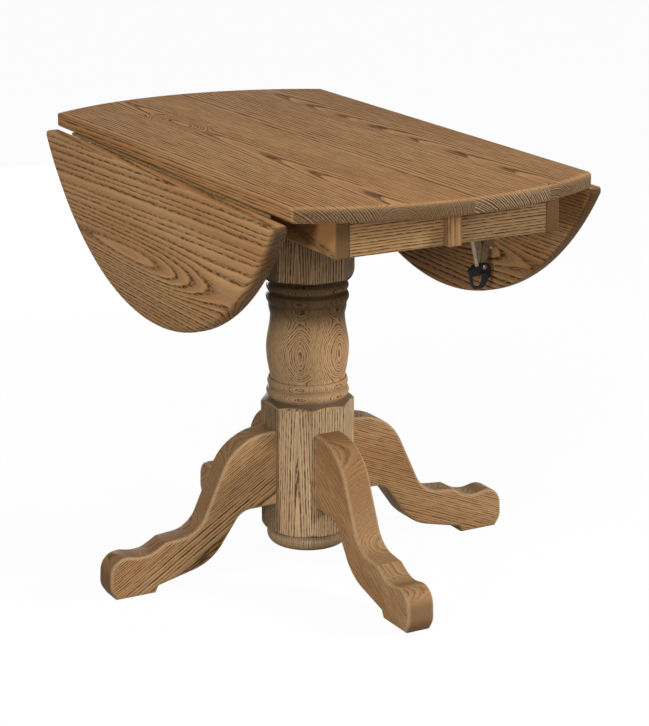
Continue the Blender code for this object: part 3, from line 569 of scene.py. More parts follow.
def leg_rings():
    """Rings from one face to the other: quarter rounds at both, and a rim inside each face."""
    turn = np.linspace(0, math.pi / 2, ROUND_STEPS)
    set_in = np.concatenate([[LEG_EDGE_ROUND + LEG_RIM], LEG_EDGE_ROUND * (1 - np.sin(turn))])
    across = LEG_HALF_THICK - LEG_EDGE_ROUND * (1 - np.cos(turn))
    across = np.concatenate([[LEG_HALF_THICK], across])
    # The edge mark of a leg: wear and a painted highlight along its rounded arrises.
    mark = np.concatenate([[0], np.sin(2 * turn)])
    set_in = np.concatenate([set_in, set_in[::-1]])
    outlines = np.stack([leg_outline(amount) for amount in set_in])
    place = np.concatenate([across, -across[::-1]])
    y = np.broadcast_to(place[:, None], outlines.shape[:2])
    rings = np.stack([outlines[..., 0], y, outlines[..., 1]], -1)
    return rings, np.concatenate([mark, mark[::-1]])


rings, mark = leg_rings()
leg_boards = {}
for side, quarters in LEG_TURNS.items():
    spin = np.array(Matrix.Rotation(quarters * math.pi / 2, 3, "Z"))
    mesh = rings_mesh(f"{side}_leg_board", rings @ spin.T, mark)
    leg_boards[side] = add_piece(f"{side}_leg_board", mesh, "table_frame", f"{side}_leg")

# %% [markdown]
# Wood screws hold the hinges, the leaf supports and the plate on the post. All that shows of one is
# a low domed head with a cross-shaped recess. One head is worked out once as rings of points, from
# the rim over the dome to the middle, and then copied to every place and turned to face outwards.

# %% Screw heads
HEAD_RADIUS = 0.0032
HEAD_RISE = 0.0012
HEAD_SUNK = 0.0004
HEAD_MIDDLE = 0.05
HEAD_CREASE = math.radians(40)
RECESS_DEPTH = 0.0008
RECESS_HALF_WIDTH = 0.0005
RECESS_REACH = 0.0019
RECESS_SLOPE = 0.0004
HEAD_ROWS = 10
HEAD_POINTS = 32


def screw_head():
    """Height = rise times (1 - share of the radius squared), less a dip where the cross is."""
    share = np.linspace(1, HEAD_MIDDLE, HEAD_ROWS)[:, None]
    turn = np.linspace(0, 2 * math.pi, HEAD_POINTS, endpoint=False)
    x = HEAD_RADIUS * share * np.cos(turn)
    y = HEAD_RADIUS * share * np.sin(turn)
    nearer, further = np.minimum(abs(x), abs(y)), np.maximum(abs(x), abs(y))
    across = np.clip((RECESS_HALF_WIDTH - nearer) / RECESS_SLOPE + 0.5, 0, 1)
    along = np.clip((RECESS_REACH - further) / RECESS_SLOPE + 0.5, 0, 1)
    height = HEAD_RISE * (1 - share**2) - RECESS_DEPTH * across * along
    dome = np.stack([x, y, height], -1)
    foot = dome[:1] - (0, 0, HEAD_SUNK)
    return np.concatenate([foot, dome])


def turn_to(way):
    """The matrix that turns Z to the way that a screw faces."""
    return np.array(Vector((0, 0, 1)).rotation_difference(Vector(way)).to_matrix())


def screws_mesh(name, screws):
    """A head at each (place, way), its axis turned from Z to the way that it faces."""
    head = screw_head()
    flat = head.reshape(-1, 3)
    points = np.concatenate([flat @ turn_to(way).T + place for place, way in screws])
    index = np.arange(len(flat)).reshape(head.shape[:2])
    copies = [index + number * index.size for number in range(len(screws))]
    mesh = bpy.data.meshes.new(name)
    mesh.from_pydata(points, [], [face for copy in copies for face in ring_faces(copy)])
    mesh.shade_smooth()
    mesh.set_sharp_from_angle(angle=HEAD_CREASE)
    return mesh


print(f"a screw head has {screw_head()[..., 0].size} points")

# %% [markdown]
# The screws sit along the hinge plates, at the two ends of each bracket's flange and round the
# plate on the post. The brackets' boxes give the places of their screws. The left side is the right
# side turned half round, so one list serves both.

# %% Screws in place
HINGE_SCREWS_Y = np.linspace(-0.345, 0.345, 7)
TOP_PLATE_SCREW = (0.258, 0.7391)
LEAF_PLATE_SCREW = (0.2745, 0.7226)
FLANGE_THICK = 0.002
FROM_FLANGE_SIDE = 0.0041
FROM_FLANGE_END = 0.0052
PLATE_SCREWS = [(0.12, 0.13), (0.12, -0.13), (-0.12, 0.13), (-0.12, -0.13), (0, 0.14), (0, -0.14)]
OUTWARD, INWARD, DOWN = (1, 0, 0), (-1, 0, 0), (0, 0, -1)


def flange_screws(node, face, way):
    """Two screws in a bracket of the right side, on the flange's side away from its ear."""
    low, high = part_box(node)
    y = high[1] - FROM_FLANGE_SIDE
    return [((face, y, z), way) for z in (low[2] + FROM_FLANGE_END, high[2] - FROM_FLANGE_END)]


frame_screws = [((x, y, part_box("mounting_plate")[0][2]), DOWN) for x, y in PLATE_SCREWS]
on_table = [((TOP_PLATE_SCREW[0], y, TOP_PLATE_SCREW[1]), DOWN) for y in HINGE_SCREWS_Y]
on_leaf = [((LEAF_PLATE_SCREW[0], y, LEAF_PLATE_SCREW[1]), INWARD) for y in HINGE_SCREWS_Y]
for end in ("front", "back"):
    bracket = f"right_{end}_table_bracket"
    on_table += flange_screws(bracket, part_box(bracket)[0][0] + FLANGE_THICK, OUTWARD)
    bracket = f"right_{end}_leaf_bracket"
    on_leaf += flange_screws(bracket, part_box(bracket)[1][0] - FLANGE_THICK, INWARD)
screw_pieces = []
for side, turn in HALF_ROUNDS.items():
    half_round = np.array((turn, turn, 1))
    frame_screws += [(half_round * place, half_round * way) for place, way in on_table]
    turned_screws = [(half_round * place, half_round * way) for place, way in on_leaf]
    name, body = f"{side}_leaf_screws", f"{side}_leaf_body"
    mesh = screws_mesh(name, turned_screws)
    screw_pieces.append(add_piece(name, mesh, body))
mesh = screws_mesh("frame_screws", frame_screws)
screw_pieces.append(add_piece("frame_screws", mesh, "table_frame"))

# %% [markdown]
# Oak grows in rings round the heart of the tree. Each year starts with a band of large pores,
# which takes up the stain and turns dark, and ends with dense, paler wood. A board is a slice of
# those rings: where the saw runs along a ring the face shows arches and islands, and where it cuts
# across the rings it shows straight lines. So the pattern is worked out in three dimensions, as
# the distance from the heart, and every face, edge and end of a board shows the right cut of it.
# All oak pieces share one node group. Its inputs say how a piece lies in its tree and how it took
# the stain, and the next cells build it step by step.

# %% Inputs of the oak group
OAK_INPUTS = {
    "Board": (0, 0, 0),  # place in metres: across the board, along the grain, out of the face
    "Facing": (0, 0, 1),  # where the surface looks, in the same directions
    "Heart X": 0.0,  # heart of the tree, in mm
    "Heart Z": -80.0,
    "Ring": 5.0,  # width of a year, in mm
    "Taper": 0.02,  # shift of the rings along the grain
    "Lean": 0.0,  # and across it
    "Wander": 8.0,  # how far the rings stray from a circle, in mm
    "Eye X": 0.0,  # an eye in the rings, in mm
    "Eye Y": 0.0,
    "Eye Length": 75.0,
    "Eye Width": 30.0,
    "Eye Lift": 0.0,
    "Tone": 1.0,  # lightness
    "Tint": (1, 1, 1, 1),
    "Contrast": 1.0,  # darkness of the pores
    "Dash": 16.0,  # their length, in mm
    "Cross Cut": 0.3,  # share of the lines left on ends
    "Side Cut": 1.0,  # and on sides
    "Side Stain": (1, 1, 1, 1),
    "End Stain": (0.37, 0.40, 0.50, 1),
    "End Start": 0.35,  # how far a surface turns endways before the end's stain sets in
    # Strength of the painted highlight lines on ends.
    "Silver": 0.0,  # strength of the pale lines on ends
    # The edge mark, 0 to 1: wear of an edge and a painted highlight on it.
    "Edge Wear And Highlight": 0.0,  # wear of an edge, 0 to 1
    "Seed": 0.0,  # another number gives another board
}
OAK_OUTPUTS = {"Colour": "Color", "Roughness": "Float", "Height": "Float"}
SOCKET_KINDS = {1: "Float", 3: "Vector", 4: "Color"}

OAK = bpy.data.node_groups.new("oak", "ShaderNodeTree")
for name, value in OAK_INPUTS.items():
    kind = f"NodeSocket{SOCKET_KINDS[np.size(value)]}"
    OAK.interface.new_socket(name, in_out="INPUT", socket_type=kind).default_value = value
for name, kind in OAK_OUTPUTS.items():
    OAK.interface.new_socket(name, in_out="OUTPUT", socket_type=f"NodeSocket{kind}")
given = OAK.nodes.new("NodeGroupInput").outputs
print(f"the oak group has {len(OAK_INPUTS)} inputs and {len(OAK_OUTPUTS)} outputs")

# %% [markdown]
# The rings are circles about the heart. A tree is never quite round or straight, so slow, medium
# and small waves shift them, all drawn out along the grain. An eye is a bump in the rings, which
# the saw cuts as closed ovals.

# %% Distance from the heart
# Waves: mm across the grain, mm along it, and a shift that tells them apart.
SLOW_WAVES, SLOW_SHARE = (150, 800, 0.0), 2.2
MEDIUM_WAVES, MEDIUM_SHARE = (32, 260, 7.0), 0.7
SMALL_WAVES, SMALL_SHARE = (7, 60, 13.0), 0.25
EYE_FLATNESS = 4.0

values = {0: given["Board"], "Scale": MM_PER_M}
place_mm = add(OAK, "VectorMath", values, operation="SCALE")[0]

# Steps in the oak group: any sum, a product, a product plus a third number, a ramp, a mix.
oak = partial(calc, OAK)
times = partial(calc, OAK, "MULTIPLY")
times_plus = partial(calc, OAK, "MULTIPLY_ADD")
fade = partial(ramp, OAK)
blend = partial(mix_colour, OAK)


def grain_noise(across, along, shift, detail=0.0):
    """Noise drawn out along the grain: its patches are `across` mm wide and `along` mm long."""
    shrink = add(OAK, "CombineXYZ", {0: across, 1: along, 2: across})[0]
    stretch = add(OAK, "VectorMath", {0: place_mm, 1: shrink}, operation="DIVIDE")
    values = {"Vector": stretch[0], "W": oak("ADD", given["Seed"], shift)}
    values.update({"Scale": 1.0, "Detail": detail})
    return add(OAK, "TexNoise", values, noise_dimensions="4D")[0]


def sway(waves):
    """A wave that swings as far up as down."""
    return oak("SUBTRACT", grain_noise(*waves), 0.5)


across, along, deep = add(OAK, "SeparateXYZ", {0: place_mm})
from_heart = oak("SUBTRACT", across, given["Heart X"])
above_heart = oak("SUBTRACT", deep, given["Heart Z"])
squares = oak("ADD", times(from_heart, from_heart), times(above_heart, above_heart))
radius = oak("SQRT", squares)
medium = times(sway(MEDIUM_WAVES), MEDIUM_SHARE)
strays = times_plus(sway(SLOW_WAVES), SLOW_SHARE, medium)
radius = times_plus(strays, given["Wander"], radius)
part_of_ring = times(given["Ring"], SMALL_SHARE)
radius = times_plus(sway(SMALL_WAVES), part_of_ring, radius)
radius = times_plus(along, given["Taper"], radius)
radius = times_plus(across, given["Lean"], radius)

eye_x = oak("DIVIDE", oak("SUBTRACT", across, given["Eye X"]), given["Eye Width"])
eye_y = oak("DIVIDE", oak("SUBTRACT", along, given["Eye Y"]), given["Eye Length"])
blunt = oak("POWER", oak("ABSOLUTE", eye_y), EYE_FLATNESS)
eye = oak("EXPONENT", times(oak("ADD", times(eye_x, eye_x), blunt), -1.0))
radius = times_plus(eye, given["Eye Lift"], radius)
print(f"{len(OAK.nodes)} nodes give the distance from the heart")

# %% [markdown]
# Dividing the distance by the width of a ring counts the years, and what is left over is the time
# of year. Years are of uneven width, and each has its own darkness. On a face that is cut across
# the grain the pores show only their ends, so the lines are fainter there, and so they are on
# marked edges, which are worn and carry a painted highlight.

# %% Years
YEAR_WAVES = {"Scale": 0.6, "Detail": 0.0}
YEAR_UNEVEN = 0.6
FAINTEST_YEAR = 0.55
EARLY_STARTS, EARLY_ENDS = (0.95, 1.0), (0.12, 0.42)
LATE_STARTS, LATE_ENDS = (0.5, 0.8), (0.86, 0.97)
END_FROM_TO, SIDE_FROM_TO = (0.2, 0.7), (0.4, 0.85)
WEAR_AND_HIGHLIGHT_FADES = 0.5

year = oak("DIVIDE", radius, given["Ring"])
values = {"W": oak("ADD", year, given["Seed"]), **YEAR_WAVES}
uneven = add(OAK, "TexNoise", values, noise_dimensions="1D")[0]
year = times_plus(uneven, YEAR_UNEVEN, year)
season = oak("FRACT", year)
values = {"W": oak("FLOOR", year)}
which = add(OAK, "TexWhiteNoise", values, noise_dimensions="1D")[0]
early = oak("MAXIMUM", fade(season, *EARLY_ENDS, 1.0, 0.0), fade(season, *EARLY_STARTS))
early = times(early, times_plus(which, 1 - FAINTEST_YEAR, FAINTEST_YEAR))
late = times(fade(season, *LATE_STARTS), fade(season, *LATE_ENDS, 1.0, 0.0))

facing = add(OAK, "SeparateXYZ", {0: given["Facing"]})
side_on = oak("ABSOLUTE", facing[0])
end_on = oak("ABSOLUTE", facing[1])
kept = mix_value(OAK, fade(end_on, *END_FROM_TO), 1.0, given["Cross Cut"])
kept_on_side = mix_value(OAK, fade(side_on, *SIDE_FROM_TO), 1.0, given["Side Cut"])
kept = times(kept, kept_on_side)
# Lines fade on marked edges, which are worn and carry a painted highlight.
kept = times(kept, times_plus(given["Edge Wear And Highlight"], -WEAR_AND_HIGHLIGHT_FADES, 1.0))
early = times(early, kept)
late = times(late, kept)
print(f"{len(OAK.nodes)} nodes with the years")

# %% [markdown]
# Pores are short dark dashes along the grain, thick in the early wood and thin in the late. Broad
# patches of the wood lean to red, and fibres streak the tone. Sides and ends then take a stain of
# their own, because end grain drinks the most. On the top's long sides and the leaves' curved ends
# these tints also paint shade, and on the leaves' edges that face up and down they paint light.

# %% Pores and stain
PALE_WOOD = (0.400, 0.225, 0.100, 1)
RED_WOOD = (0.345, 0.178, 0.073, 1)
DARK_PORES = (0.085, 0.040, 0.014, 1)
PORE_WIDTH, PORE_SHIFT, PORE_FROM_TO = 2.6, 21.0, (0.40, 0.58)
FINE_PORES, FINE_FROM_TO = (0.8, 9, 29.0), (0.46, 0.66)
PATCHES, PATCH_FROM_TO = (70, 420, 35.0), (0.3, 0.75)
FIBRES = (3.0, 110, 41.0)
PORES_IN_EARLY, PORES_IN_LATE = 0.96, 0.03
EARLY_DARK, PORE_DARK, FINE_DARK = 0.22, 0.85, 0.10
FIBRE_SWING, FIBRE_LEAST = 0.36, 0.82
LATE_SHINE, SHINE_LEAST = 0.22, 0.95
SAWN_FROM_TO = (0.6, 0.95)
END_GRAIN_TO = 0.9


def tinted(colour, stain):
    """The colour multiplied by a tint, which stands for a stain and on some pieces also for painted
    light and shade.
    """
    return blend(1.0, colour, stain, "MULTIPLY")


dashes = fade(grain_noise(PORE_WIDTH, given["Dash"], PORE_SHIFT, detail=1.0), *PORE_FROM_TO)
fine = fade(grain_noise(*FINE_PORES, detail=1.0), *FINE_FROM_TO)
pores = times(dashes, times_plus(early, PORES_IN_EARLY, PORES_IN_LATE))
dark = times_plus(early, EARLY_DARK, times(pores, PORE_DARK))
dark = times_plus(fine, FINE_DARK, dark)
dark = add(OAK, "Clamp", {0: times(dark, given["Contrast"])})[0]

patch = fade(grain_noise(*PATCHES), *PATCH_FROM_TO)
colour = blend(patch, PALE_WOOD, RED_WOOD)
colour = blend(dark, colour, DARK_PORES)
fibre = grain_noise(*FIBRES, detail=2.0)
streak = times_plus(fibre, FIBRE_SWING, FIBRE_LEAST)
streak = times(streak, given["Tone"])
shine = times(late, times(given["Contrast"], LATE_SHINE))
streak = times(streak, oak("ADD", shine, SHINE_LEAST))
values = {0: colour, "Scale": streak}
colour = add(OAK, "VectorMath", values, operation="SCALE")[0]
colour = tinted(colour, given["Tint"])
sawn = fade(side_on, *SAWN_FROM_TO)
colour = blend(sawn, colour, tinted(colour, given["Side Stain"]))
end_grain = fade(end_on, given["End Start"], END_GRAIN_TO)
colour = blend(end_grain, colour, tinted(colour, given["End Stain"]))
print(f"{len(OAK.nodes)} nodes with the stain")

# %% [markdown]
# Across the grain, fine pale lines along the rings are painted highlights. Worn edges have lost
# some of their stain and carry a painted highlight too. Pores are rougher than the wood round them
# and lie a little lower, and end grain is rougher too.

# %% Painted highlight lines, wear and gloss
HIGHLIGHT_LINE_COLOUR = (0.44, 0.35, 0.24, 1)
WORN_AND_HIGHLIT_WOOD = (0.46, 0.34, 0.21, 1)
HIGHLIGHT_LINES_PER_YEAR = 1.4
HIGHLIGHT_FROM_TO, HIGHLIGHT_FACING = (0.30, 0.42), (0.15, 0.5)
HIGHLIGHT_SWING, HIGHLIGHT_LEAST = 1.4, -0.1
WEAR_AND_HIGHLIGHT_SHARE = 0.4
WOOD_ROUGH, PORES_ROUGHER, ENDS_ROUGHER = 0.40, 0.18, 0.08
PORE_SINK, EARLY_SINK = -0.8, -0.2

zigzag = oak("PINGPONG", times(year, HIGHLIGHT_LINES_PER_YEAR), 0.5)
silver = times(fade(zigzag, *HIGHLIGHT_FROM_TO), fade(end_on, *HIGHLIGHT_FACING))
silver = times(silver, times_plus(fibre, HIGHLIGHT_SWING, HIGHLIGHT_LEAST))
silver = times(silver, given["Silver"])
# Painted highlight lines along the rings, on faces that look endways.
colour = blend(silver, colour, HIGHLIGHT_LINE_COLOUR)
# Marked edges turn paler: wear, and a painted highlight.
colour = blend(times(given["Edge Wear And Highlight"], WEAR_AND_HIGHLIGHT_SHARE), colour, WORN_AND_HIGHLIT_WOOD)

rough = times_plus(dark, PORES_ROUGHER, WOOD_ROUGH)
rough = times_plus(end_grain, ENDS_ROUGHER, rough)
height = times_plus(pores, PORE_SINK, times(early, EARLY_SINK))
results = {"Colour": colour, "Roughness": rough, "Height": height}
feed(OAK, OAK.nodes.new("NodeGroupOutput"), results)
print(f"oak group of {len(OAK.nodes)} nodes")

# %% [markdown]
# Every oak piece gets a material of its own, because every piece was cut from another board. Two
# directions place a piece in its board: the way its grain runs, and the way its best face looks.
# Where a piece is glued up from several boards, a table gives each board its own heart, slope and
# tone, and a step at each glue line changes from one row of the table to the next. The same kind
# of table shades one part of a piece darker than another.

# %% Oak for one piece
OAK_GLOSS = 0.015
PORE_BUMP = {"Strength": 0.35, "Distance": 0.0006}
GLUE_WIDTH = 0.0002


def board_turn(grain, face):
    """The turn that takes the piece's axes to the board's: grain to Y and the face to Z."""
    along = Vector(grain).normalized()
    out = Vector(face)
    out = (out - along * out.dot(along)).normalized()
    return Matrix((along.cross(out), along, out)).to_euler()


def glue_lines(tree, place, across, starts, rows, width=GLUE_WIDTH):
    """For each named input the first value, plus each change times a step at its glue line."""
    values = {0: place, 1: across}
    dot = add(tree, "VectorMath", values, operation="DOT_PRODUCT")["Value"]
    past = [ramp(tree, dot, start - width / 2, start + width / 2) for start in starts]
    looks = {}
    for name, values in rows.items():
        total = values[0]
        for step, value, last in zip(past, values[1:], values):
            total = calc(tree, "MULTIPLY_ADD", step, value - last, total)
        looks[name] = total
    return looks


def make_oak(name, grain, face, middle=(0, 0, 0), boards=(), **look):
    """An oak material: look names inputs of the oak group, boards holds glue_lines' tables."""
    material, tree, shader = new_material(name)
    turn = board_turn(grain, face)
    away = turn.to_matrix() @ Vector(middle)
    coordinates = add(tree, "TexCoord")
    place = coordinates["Object"]
    values = {"Vector": place, "Location": -away, "Rotation": turn}
    board = add(tree, "Mapping", values)[0]
    values = {"Vector": coordinates["Normal"], "Rotation": turn}
    facing = add(tree, "Mapping", values, vector_type="VECTOR")[0]
    for table in boards:
        for key, value in glue_lines(tree, place, *table).items():
            look[key] = calc(tree, "MULTIPLY", look[key], value) if key in look else value
    edge = add(tree, "Attribute", attribute_name="edge")["Fac"]
    values = {"Board": board, "Facing": facing, "Edge Wear And Highlight": edge}
    values.update({key.replace("_", " ").title(): value for key, value in look.items()})
    wood = add(tree, "Group", values, node_tree=OAK)
    bump = add(tree, "Bump", {"Height": wood["Height"], **PORE_BUMP})
    values = {"Base Color": wood["Colour"], "Roughness": wood["Roughness"], "Normal": bump[0]}
    feed(tree, shader, {**values, "Specular IOR Level": OAK_GLOSS})
    return material


def finish_piece(piece, material):
    """Gives a piece its material, in place of any it came with."""
    piece.data.materials.clear()
    piece.data.materials.append(material)
    print(f"{piece.name}: {material.name}")


# %% [markdown]
# The middle board is glued up from four boards, with the grain along the table. The second from
# the left is a plain-sawn one with an island of rings near its far end, and the last has arches
# along its inner edge. The other two are cut across the rings and show fine straight lines.

# %% Oak of the top
X, Y, Z = (1, 0, 0), (0, 1, 0), (0, 0, 1)
OUT = {"left": (-1, 0, 0), "right": (1, 0, 0), "front": (0, -1, 0), "back": (0, 1, 0)}
TOP_GLUE_LINES = (-0.152, 0.003, 0.158)
TOP_BOARDS = {
    "heart_x": (-330, -120, -40, 166),
    "heart_z": (-110, -42, -120, -55),
    "ring": (5.2, 3.8, 5.2, 4.4),
    "taper": (0.012, 0.022, 0.009, 0.034),
    "wander": (2.5, 3.0, 2.5, 3.5),
    "eye_lift": (0.0, -24.0, 0.0, 0.0),
    "tone": (1.13, 1.18, 1.12, 1.06),
    "contrast": (1.4, 1.5, 1.4, 1.6),
    "cross_cut": (0.5, 0.3, 0.7, 0.4),
    # Strength of each board's painted highlight lines on its ends.
    "silver": (0.55, 0.4, 1.0, 0.55),
    "seed": (1.0, 2.0, 3.0, 4.0),
}
TOP_TABLES = [(X, TOP_GLUE_LINES, TOP_BOARDS)]
TOP_LOOK = dict(eye_x=-127.0, eye_y=253.0, eye_length=72.0, eye_width=34.0, dash=60.0)
# The side tint darkens the top's long sides: painted shade.
TOP_LOOK.update(tint=(1.04, 0.96, 0.76, 1), side_stain=(0.78, 0.81, 0.98, 1))
TOP_LOOK.update(end_stain=(0.26, 0.28, 0.37, 1))
finish_piece(top_board, make_oak("oak_top", Y, Z, (0, 0, TOP_HEIGHT), TOP_TABLES, **TOP_LOOK))

# %% [markdown]
# Each leaf shows bold lines along the hinge and a flame of long arches below them. Its lower part
# is painted a little darker, as painted shade, and has stronger lines. Where the curved edge turns
# to the front and the back it is cut across the grain and takes a dark stain, which is darkened and
# spread further round the curve as painted shade. The edges that face up and down are painted
# lighter, as painted light.

# %% Oak of the leaves
LEAF_FACE = HALF_WIDTH + TOP_HEIGHT - PIN_HEIGHT
LEAF_MIDDLE_HEIGHT = 0.58
DARKER_BELOW, DARKER_FADE = 0.565, 0.1
# The lower part of a leaf is painted darker: painted shade.
LEAF_SHADE_AND_LINES = {"tone": (0.88, 1.06), "contrast": (1.4, 1.0)}
LEAF_TABLES = [(Z, (DARKER_BELOW,), LEAF_SHADE_AND_LINES, DARKER_FADE)]
LEAF_LOOK = dict(heart_x=0.0, heart_z=-60.0, ring=7.0, taper=0.02, lean=-0.3, wander=1.6)
LEAF_LOOK.update(eye_y=200.0, eye_length=370.0, eye_width=40.0, eye_lift=-38.0, seed=11.0)
# The side tint brightens the edges that face up and down: painted light.
LEAF_LOOK.update(contrast=1.1, cross_cut=0.5, side_stain=(1.35, 1.33, 1.3, 1))
# The end tint and its early start add painted shade to the stain of the end grain.
LEAF_LOOK.update(end_start=0.0, end_stain=(0.27, 0.28, 0.33, 1))

for side, piece in leaf_boards.items():
    middle = Vector(OUT[side]) * LEAF_FACE + Vector((0, 0, LEAF_MIDDLE_HEIGHT))
    leaf_oak = make_oak(f"oak_{side}_leaf", Y, OUT[side], middle, LEAF_TABLES, **LEAF_LOOK)
    finish_piece(piece, leaf_oak)

# %% [markdown]
# The rails are cut across the rings, with straight lines along them. Their ends show dark where
# the side rails reach the corner. The small block in the middle of each end stands upright.

# %% Oak of the frame
RAIL_FACE = 0.469
RAIL_MIDDLE_HEIGHT = 0.71
PLATE_MIDDLE = (0, 0, 0.73)
RAIL_TABLES = [(X, (0.0,), {"tone": (1.05, 0.68)})]
SIDE_RAIL_LOOK = dict(heart_x=10.0, heart_z=-140.0, ring=4.6, taper=0.012, wander=1.5)
SIDE_RAIL_LOOK.update(tone=0.92, contrast=0.6, tint=(1, 0.94, 0.82, 1))
END_RAIL_LOOK = dict(heart_x=-240.0, heart_z=-30.0, ring=5.0, taper=0.006, wander=1.2)
END_RAIL_LOOK.update(contrast=1.6, tint=(0.84, 0.92, 1.0, 1))
BLOCK_LOOK = dict(heart_x=-120.0, heart_z=-40.0, ring=3.0, taper=0.006, wander=1.5)
BLOCK_LOOK.update(tone=0.74, tint=(1.0, 1.02, 1.12, 1))
PLATE_LOOK = dict(heart_x=30.0, heart_z=-90.0, ring=4.0, seed=51.0)

rail_middle = Vector((0, 0, RAIL_MIDDLE_HEIGHT))
for side, seed in (("left", 21.0), ("right", 22.0)):
    rail_oak = make_oak(f"oak_{side}_rail", Y, OUT[side], rail_middle, seed=seed, **SIDE_RAIL_LOOK)
    finish_piece(NODES[f"{side}_rail"], rail_oak)
for end, rail_seed, block_seed in (("front", 31.0, 41.0), ("back", 32.0, 42.0)):
    middle = Vector(OUT[end]) * RAIL_FACE + rail_middle
    look = dict(END_RAIL_LOOK, seed=rail_seed)
    rail_oak = make_oak(f"oak_{end}_rail", X, OUT[end], middle, RAIL_TABLES, **look)
    finish_piece(NODES[f"{end}_rail"], rail_oak)
    block_oak = make_oak(f"oak_{end}_block", Z, OUT[end], seed=block_seed, **BLOCK_LOOK)
    finish_piece(NODES[f"{end}_centre_block"], block_oak)
finish_piece(NODES["mounting_plate"], make_oak("oak_plate", X, Z, PLATE_MIDDLE, **PLATE_LOOK))

# %% [markdown]
# The post is glued up from two halves whose rings lean different ways, so the turned belly shows
# two sets of closed ovals, one to each side of the glue line. The square lengths and the turned
# length have a material each, because the ovals need rings of another kind. The upper beads are
# painted darker as painted shade, most of all in their grooves, with a painted highlight on the
# crown between. The flat that looks left and the upper square length are painted darker too, as
# painted shade, and the grey-blue tint of the post paints the haze of its sheen.

# %% Oak of the post
POST_FACES = {"left": (-0.619, -0.783, 0), "right": (0.367, -0.934, 0)}
GLUE_ACROSS = (0.913, -0.407, 0)
POST_MIDDLE = (0, 0, 0.4)
TURNED_FROM_TO = (0.301, 0.5305)
HEART_BEHIND = 250.0
SHADED_LEFT_FLAT = 0.002 - POST_FLATS / 2
FOOT_TOP, VASE_MIDDLE = 0.0655, 0.42
BEAD_SHADE_FROM, BEAD_SHADE_FADE = 0.456, 0.05
GROOVE_SHADE_AND_HIGHLIGHT, GROOVE_SHADE_FADE = (0.498, 0.507, 0.518), 0.004

left_face = Vector(POST_FACES["left"])
across_face = Vector(Z).cross(left_face)
post_faces = [Vector(face) for face in POST_FACES.values()]
TURNED_HALVES = {
    "heart_x": [-HEART_BEHIND * face.dot(across_face) for face in post_faces],
    "heart_z": [-HEART_BEHIND * face.dot(left_face) for face in post_faces],
    "eye_x": (0.0, 63.0),
    "eye_width": (9.0, 6.0),
    "seed": (61.0, 62.0),
    "tone": (1.0, 1.06),
}
SQUARE_HALVES = {
    "heart_x": (-4.0, 64.0),
    "heart_z": (71.0, -16.0),
    "ring": (4.2, 3.6),
    "taper": (0.03, 0.006),
    "seed": (63.0, 64.0),
    "tone": (1.12, 0.9),
}
# The upper square length is painted darker: painted shade under the top.
SQUARE_LENGTHS = {"tone": (0.75, 1.0, 0.86), "contrast": (0.5, 1.0, 1.8)}
SQUARE_TABLES = [
    (GLUE_ACROSS, (0.0,), SQUARE_HALVES),
    (Z, (FOOT_TOP, VASE_MIDDLE), SQUARE_LENGTHS),
    # The flat that looks left is painted darker: painted shade.
    (X, (SHADED_LEFT_FLAT,), {"tone": (0.55, 1.0)}),
]
TURNED_TABLES = [
    (GLUE_ACROSS, (0.0,), TURNED_HALVES),
    # Painted shade on the upper beads, deepest in the grooves, with a painted highlight on the
    # crown between.
    (Z, (BEAD_SHADE_FROM,), {"tone": (1.0, 0.37)}, BEAD_SHADE_FADE),
    (Z, GROOVE_SHADE_AND_HIGHLIGHT, {"tone": (1.0, 0.6, 1.2, 0.5)}, GROOVE_SHADE_FADE),
]
# The grey-blue tints of the post paint the haze of its sheen.
SQUARE_LOOK = dict(wander=2.4, contrast=1.4, tint=(1.15, 1.43, 1.9, 1))
TURNED_LOOK = dict(ring=1.2, taper=0.0, wander=1.5, eye_length=40.0, eye_lift=2.8)
TURNED_LOOK.update(contrast=1.15, tint=(1.1, 1.26, 1.5, 1))

square_oak = make_oak("oak_post_square", Z, left_face, POST_MIDDLE, SQUARE_TABLES, **SQUARE_LOOK)
turned_oak = make_oak("oak_post_turned", Z, left_face, POST_MIDDLE, TURNED_TABLES, **TURNED_LOOK)
finish_piece(turned_post, square_oak)
post_mesh.materials.append(turned_oak)
middles = np.empty(3 * len(post_mesh.polygons))
post_mesh.polygons.foreach_get("center", middles)
from_middle = np.abs(middles[2::3] - sum(TURNED_FROM_TO) / 2)
turned = from_middle < (TURNED_FROM_TO[1] - TURNED_FROM_TO[0]) / 2
post_mesh.polygons.foreach_set("material_index", turned.astype(np.int32))
print(f"{turned.sum()} of the post's {turned.size} faces are turned")

# %% [markdown]
# The legs have their grain along the slope, where a leg needs its strength. In the right leg it
# runs less steeply, as the photograph shows. The sawn edges are darker and show fainter lines than
# the broad faces.

# %% Oak of the legs
LEG_OUT, LEG_HEIGHT = 0.24, 0.13
OWN_LOOK = ("heart_x", "heart_z", "tone", "contrast", "seed")
# For each leg the slope of its grain in degrees, then its own look.
LEGS = {
    "right": (21.0, 120.0, -20.0, 1.06, 1.2, 71.0),
    "back": (31.0, 90.0, 20.0, 1.0, 1.2, 72.0),
    "left": (31.0, 80.0, 20.0, 0.98, 1.5, 73.0),
    # The front leg's higher tone is painted light on its flank.
    "front": (31.0, 110.0, -25.0, 1.15, 1.4, 74.0),
}
LEG_LOOK = dict(ring=3.3, taper=0.012, wander=1.8, dash=30.0, cross_cut=0.2, side_cut=0.45)
LEG_LOOK.update(side_stain=(0.76, 0.76, 0.76, 1), end_stain=(0.52, 0.50, 0.50, 1))
LEG_LOOK.update(tint=(0.97, 1.02, 1.1, 1))

for side, (degrees, *own) in LEGS.items():
    out, steepness = Vector(OUT[side]), math.radians(degrees)
    slope = out * math.cos(steepness) - Vector(Z) * math.sin(steepness)
    flank = out.cross(Vector(Z))
    middle = out * LEG_OUT + Vector((0, 0, LEG_HEIGHT))
    look = dict(LEG_LOOK, **dict(zip(OWN_LOOK, own)))
    finish_piece(leg_boards[side], make_oak(f"oak_{side}_leg", slope, flank, middle, **look))
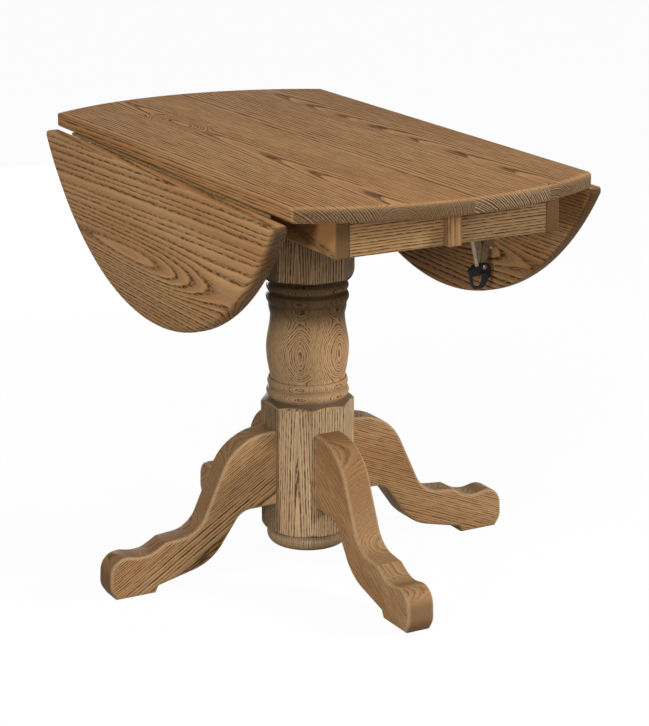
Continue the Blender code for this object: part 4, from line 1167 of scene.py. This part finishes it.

# %% [markdown]
# The leaf supports are pressed from zinc-plated steel, cloudy, with fine scratches that run up and
# down. Their yellow-brown colour is a painted reflection of the wood round them. The long hinges
# are darkened, as they show in the gap beside the top. The catch and its finger ring are black.
# Clouds of colour and scratches in the gloss take away the evenness that would make metal look like
# plastic.

# %% Metal
CLOUD_SCALE, CLOUD_DETAIL = 160.0, 3.0
SCRATCHES_PER_METRE, SCRATCH_DETAIL = (2500, 2500, 120), 2.0
NOISE_FROM_TO = (0.3, 0.7)
SMOOTHER, ROUGHER = 0.07, 0.1
SCRATCH_BUMP = {"Strength": 0.08, "Distance": 0.0002}


def make_metal(name, colour, clouded, roughness, metallic, gloss):
    """A metal or enamel: cloudy colour between two tones, with fine scratches in the gloss."""
    material, tree, shader = new_material(name)
    place = add(tree, "TexCoord")["Object"]
    values = {"Vector": place, "Scale": CLOUD_SCALE, "Detail": CLOUD_DETAIL}
    clouds = ramp(tree, add(tree, "TexNoise", values)[0], *NOISE_FROM_TO)
    values = {0: place, 1: SCRATCHES_PER_METRE}
    drawn = add(tree, "VectorMath", values, operation="MULTIPLY")[0]
    values = {"Vector": drawn, "Scale": 1.0, "Detail": SCRATCH_DETAIL}
    scratches = add(tree, "TexNoise", values)[0]
    rough = ramp(tree, scratches, *NOISE_FROM_TO, roughness - SMOOTHER, roughness + ROUGHER)
    bump = add(tree, "Bump", {"Height": scratches, **SCRATCH_BUMP})
    tone = mix_colour(tree, clouds, colour, clouded)
    values = {"Base Color": tone, "Roughness": rough, "Normal": bump[0], "Metallic": metallic}
    feed(tree, shader, {**values, "Specular IOR Level": gloss})
    return material


# The yellow-brown of the plated steel is a painted reflection of the wood.
ZINC = make_metal("plated_steel", (0.32, 0.26, 0.17, 1), (0.23, 0.18, 0.11, 1), 0.42, 1.0, 0.5)
BRONZE = make_metal("dark_hinge", (0.27, 0.165, 0.07, 1), (0.17, 0.10, 0.042, 1), 0.6, 0.0, 0.05)
BLACK = make_metal("black_catch", (0.01, 0.01, 0.01, 1), (0.016, 0.016, 0.016, 1), 0.48, 0.0, 0.15)
for name, piece in NODES.items():
    if "_hinge_" in name:
        finish_piece(piece, BRONZE)
    elif name.endswith(("elbow_catch", "release_ring")):
        finish_piece(piece, BLACK)
    elif name.endswith(("bracket", "arm", "rivet", "bolt")):
        finish_piece(piece, ZINC)
for piece in screw_pieces:
    finish_piece(piece, ZINC)
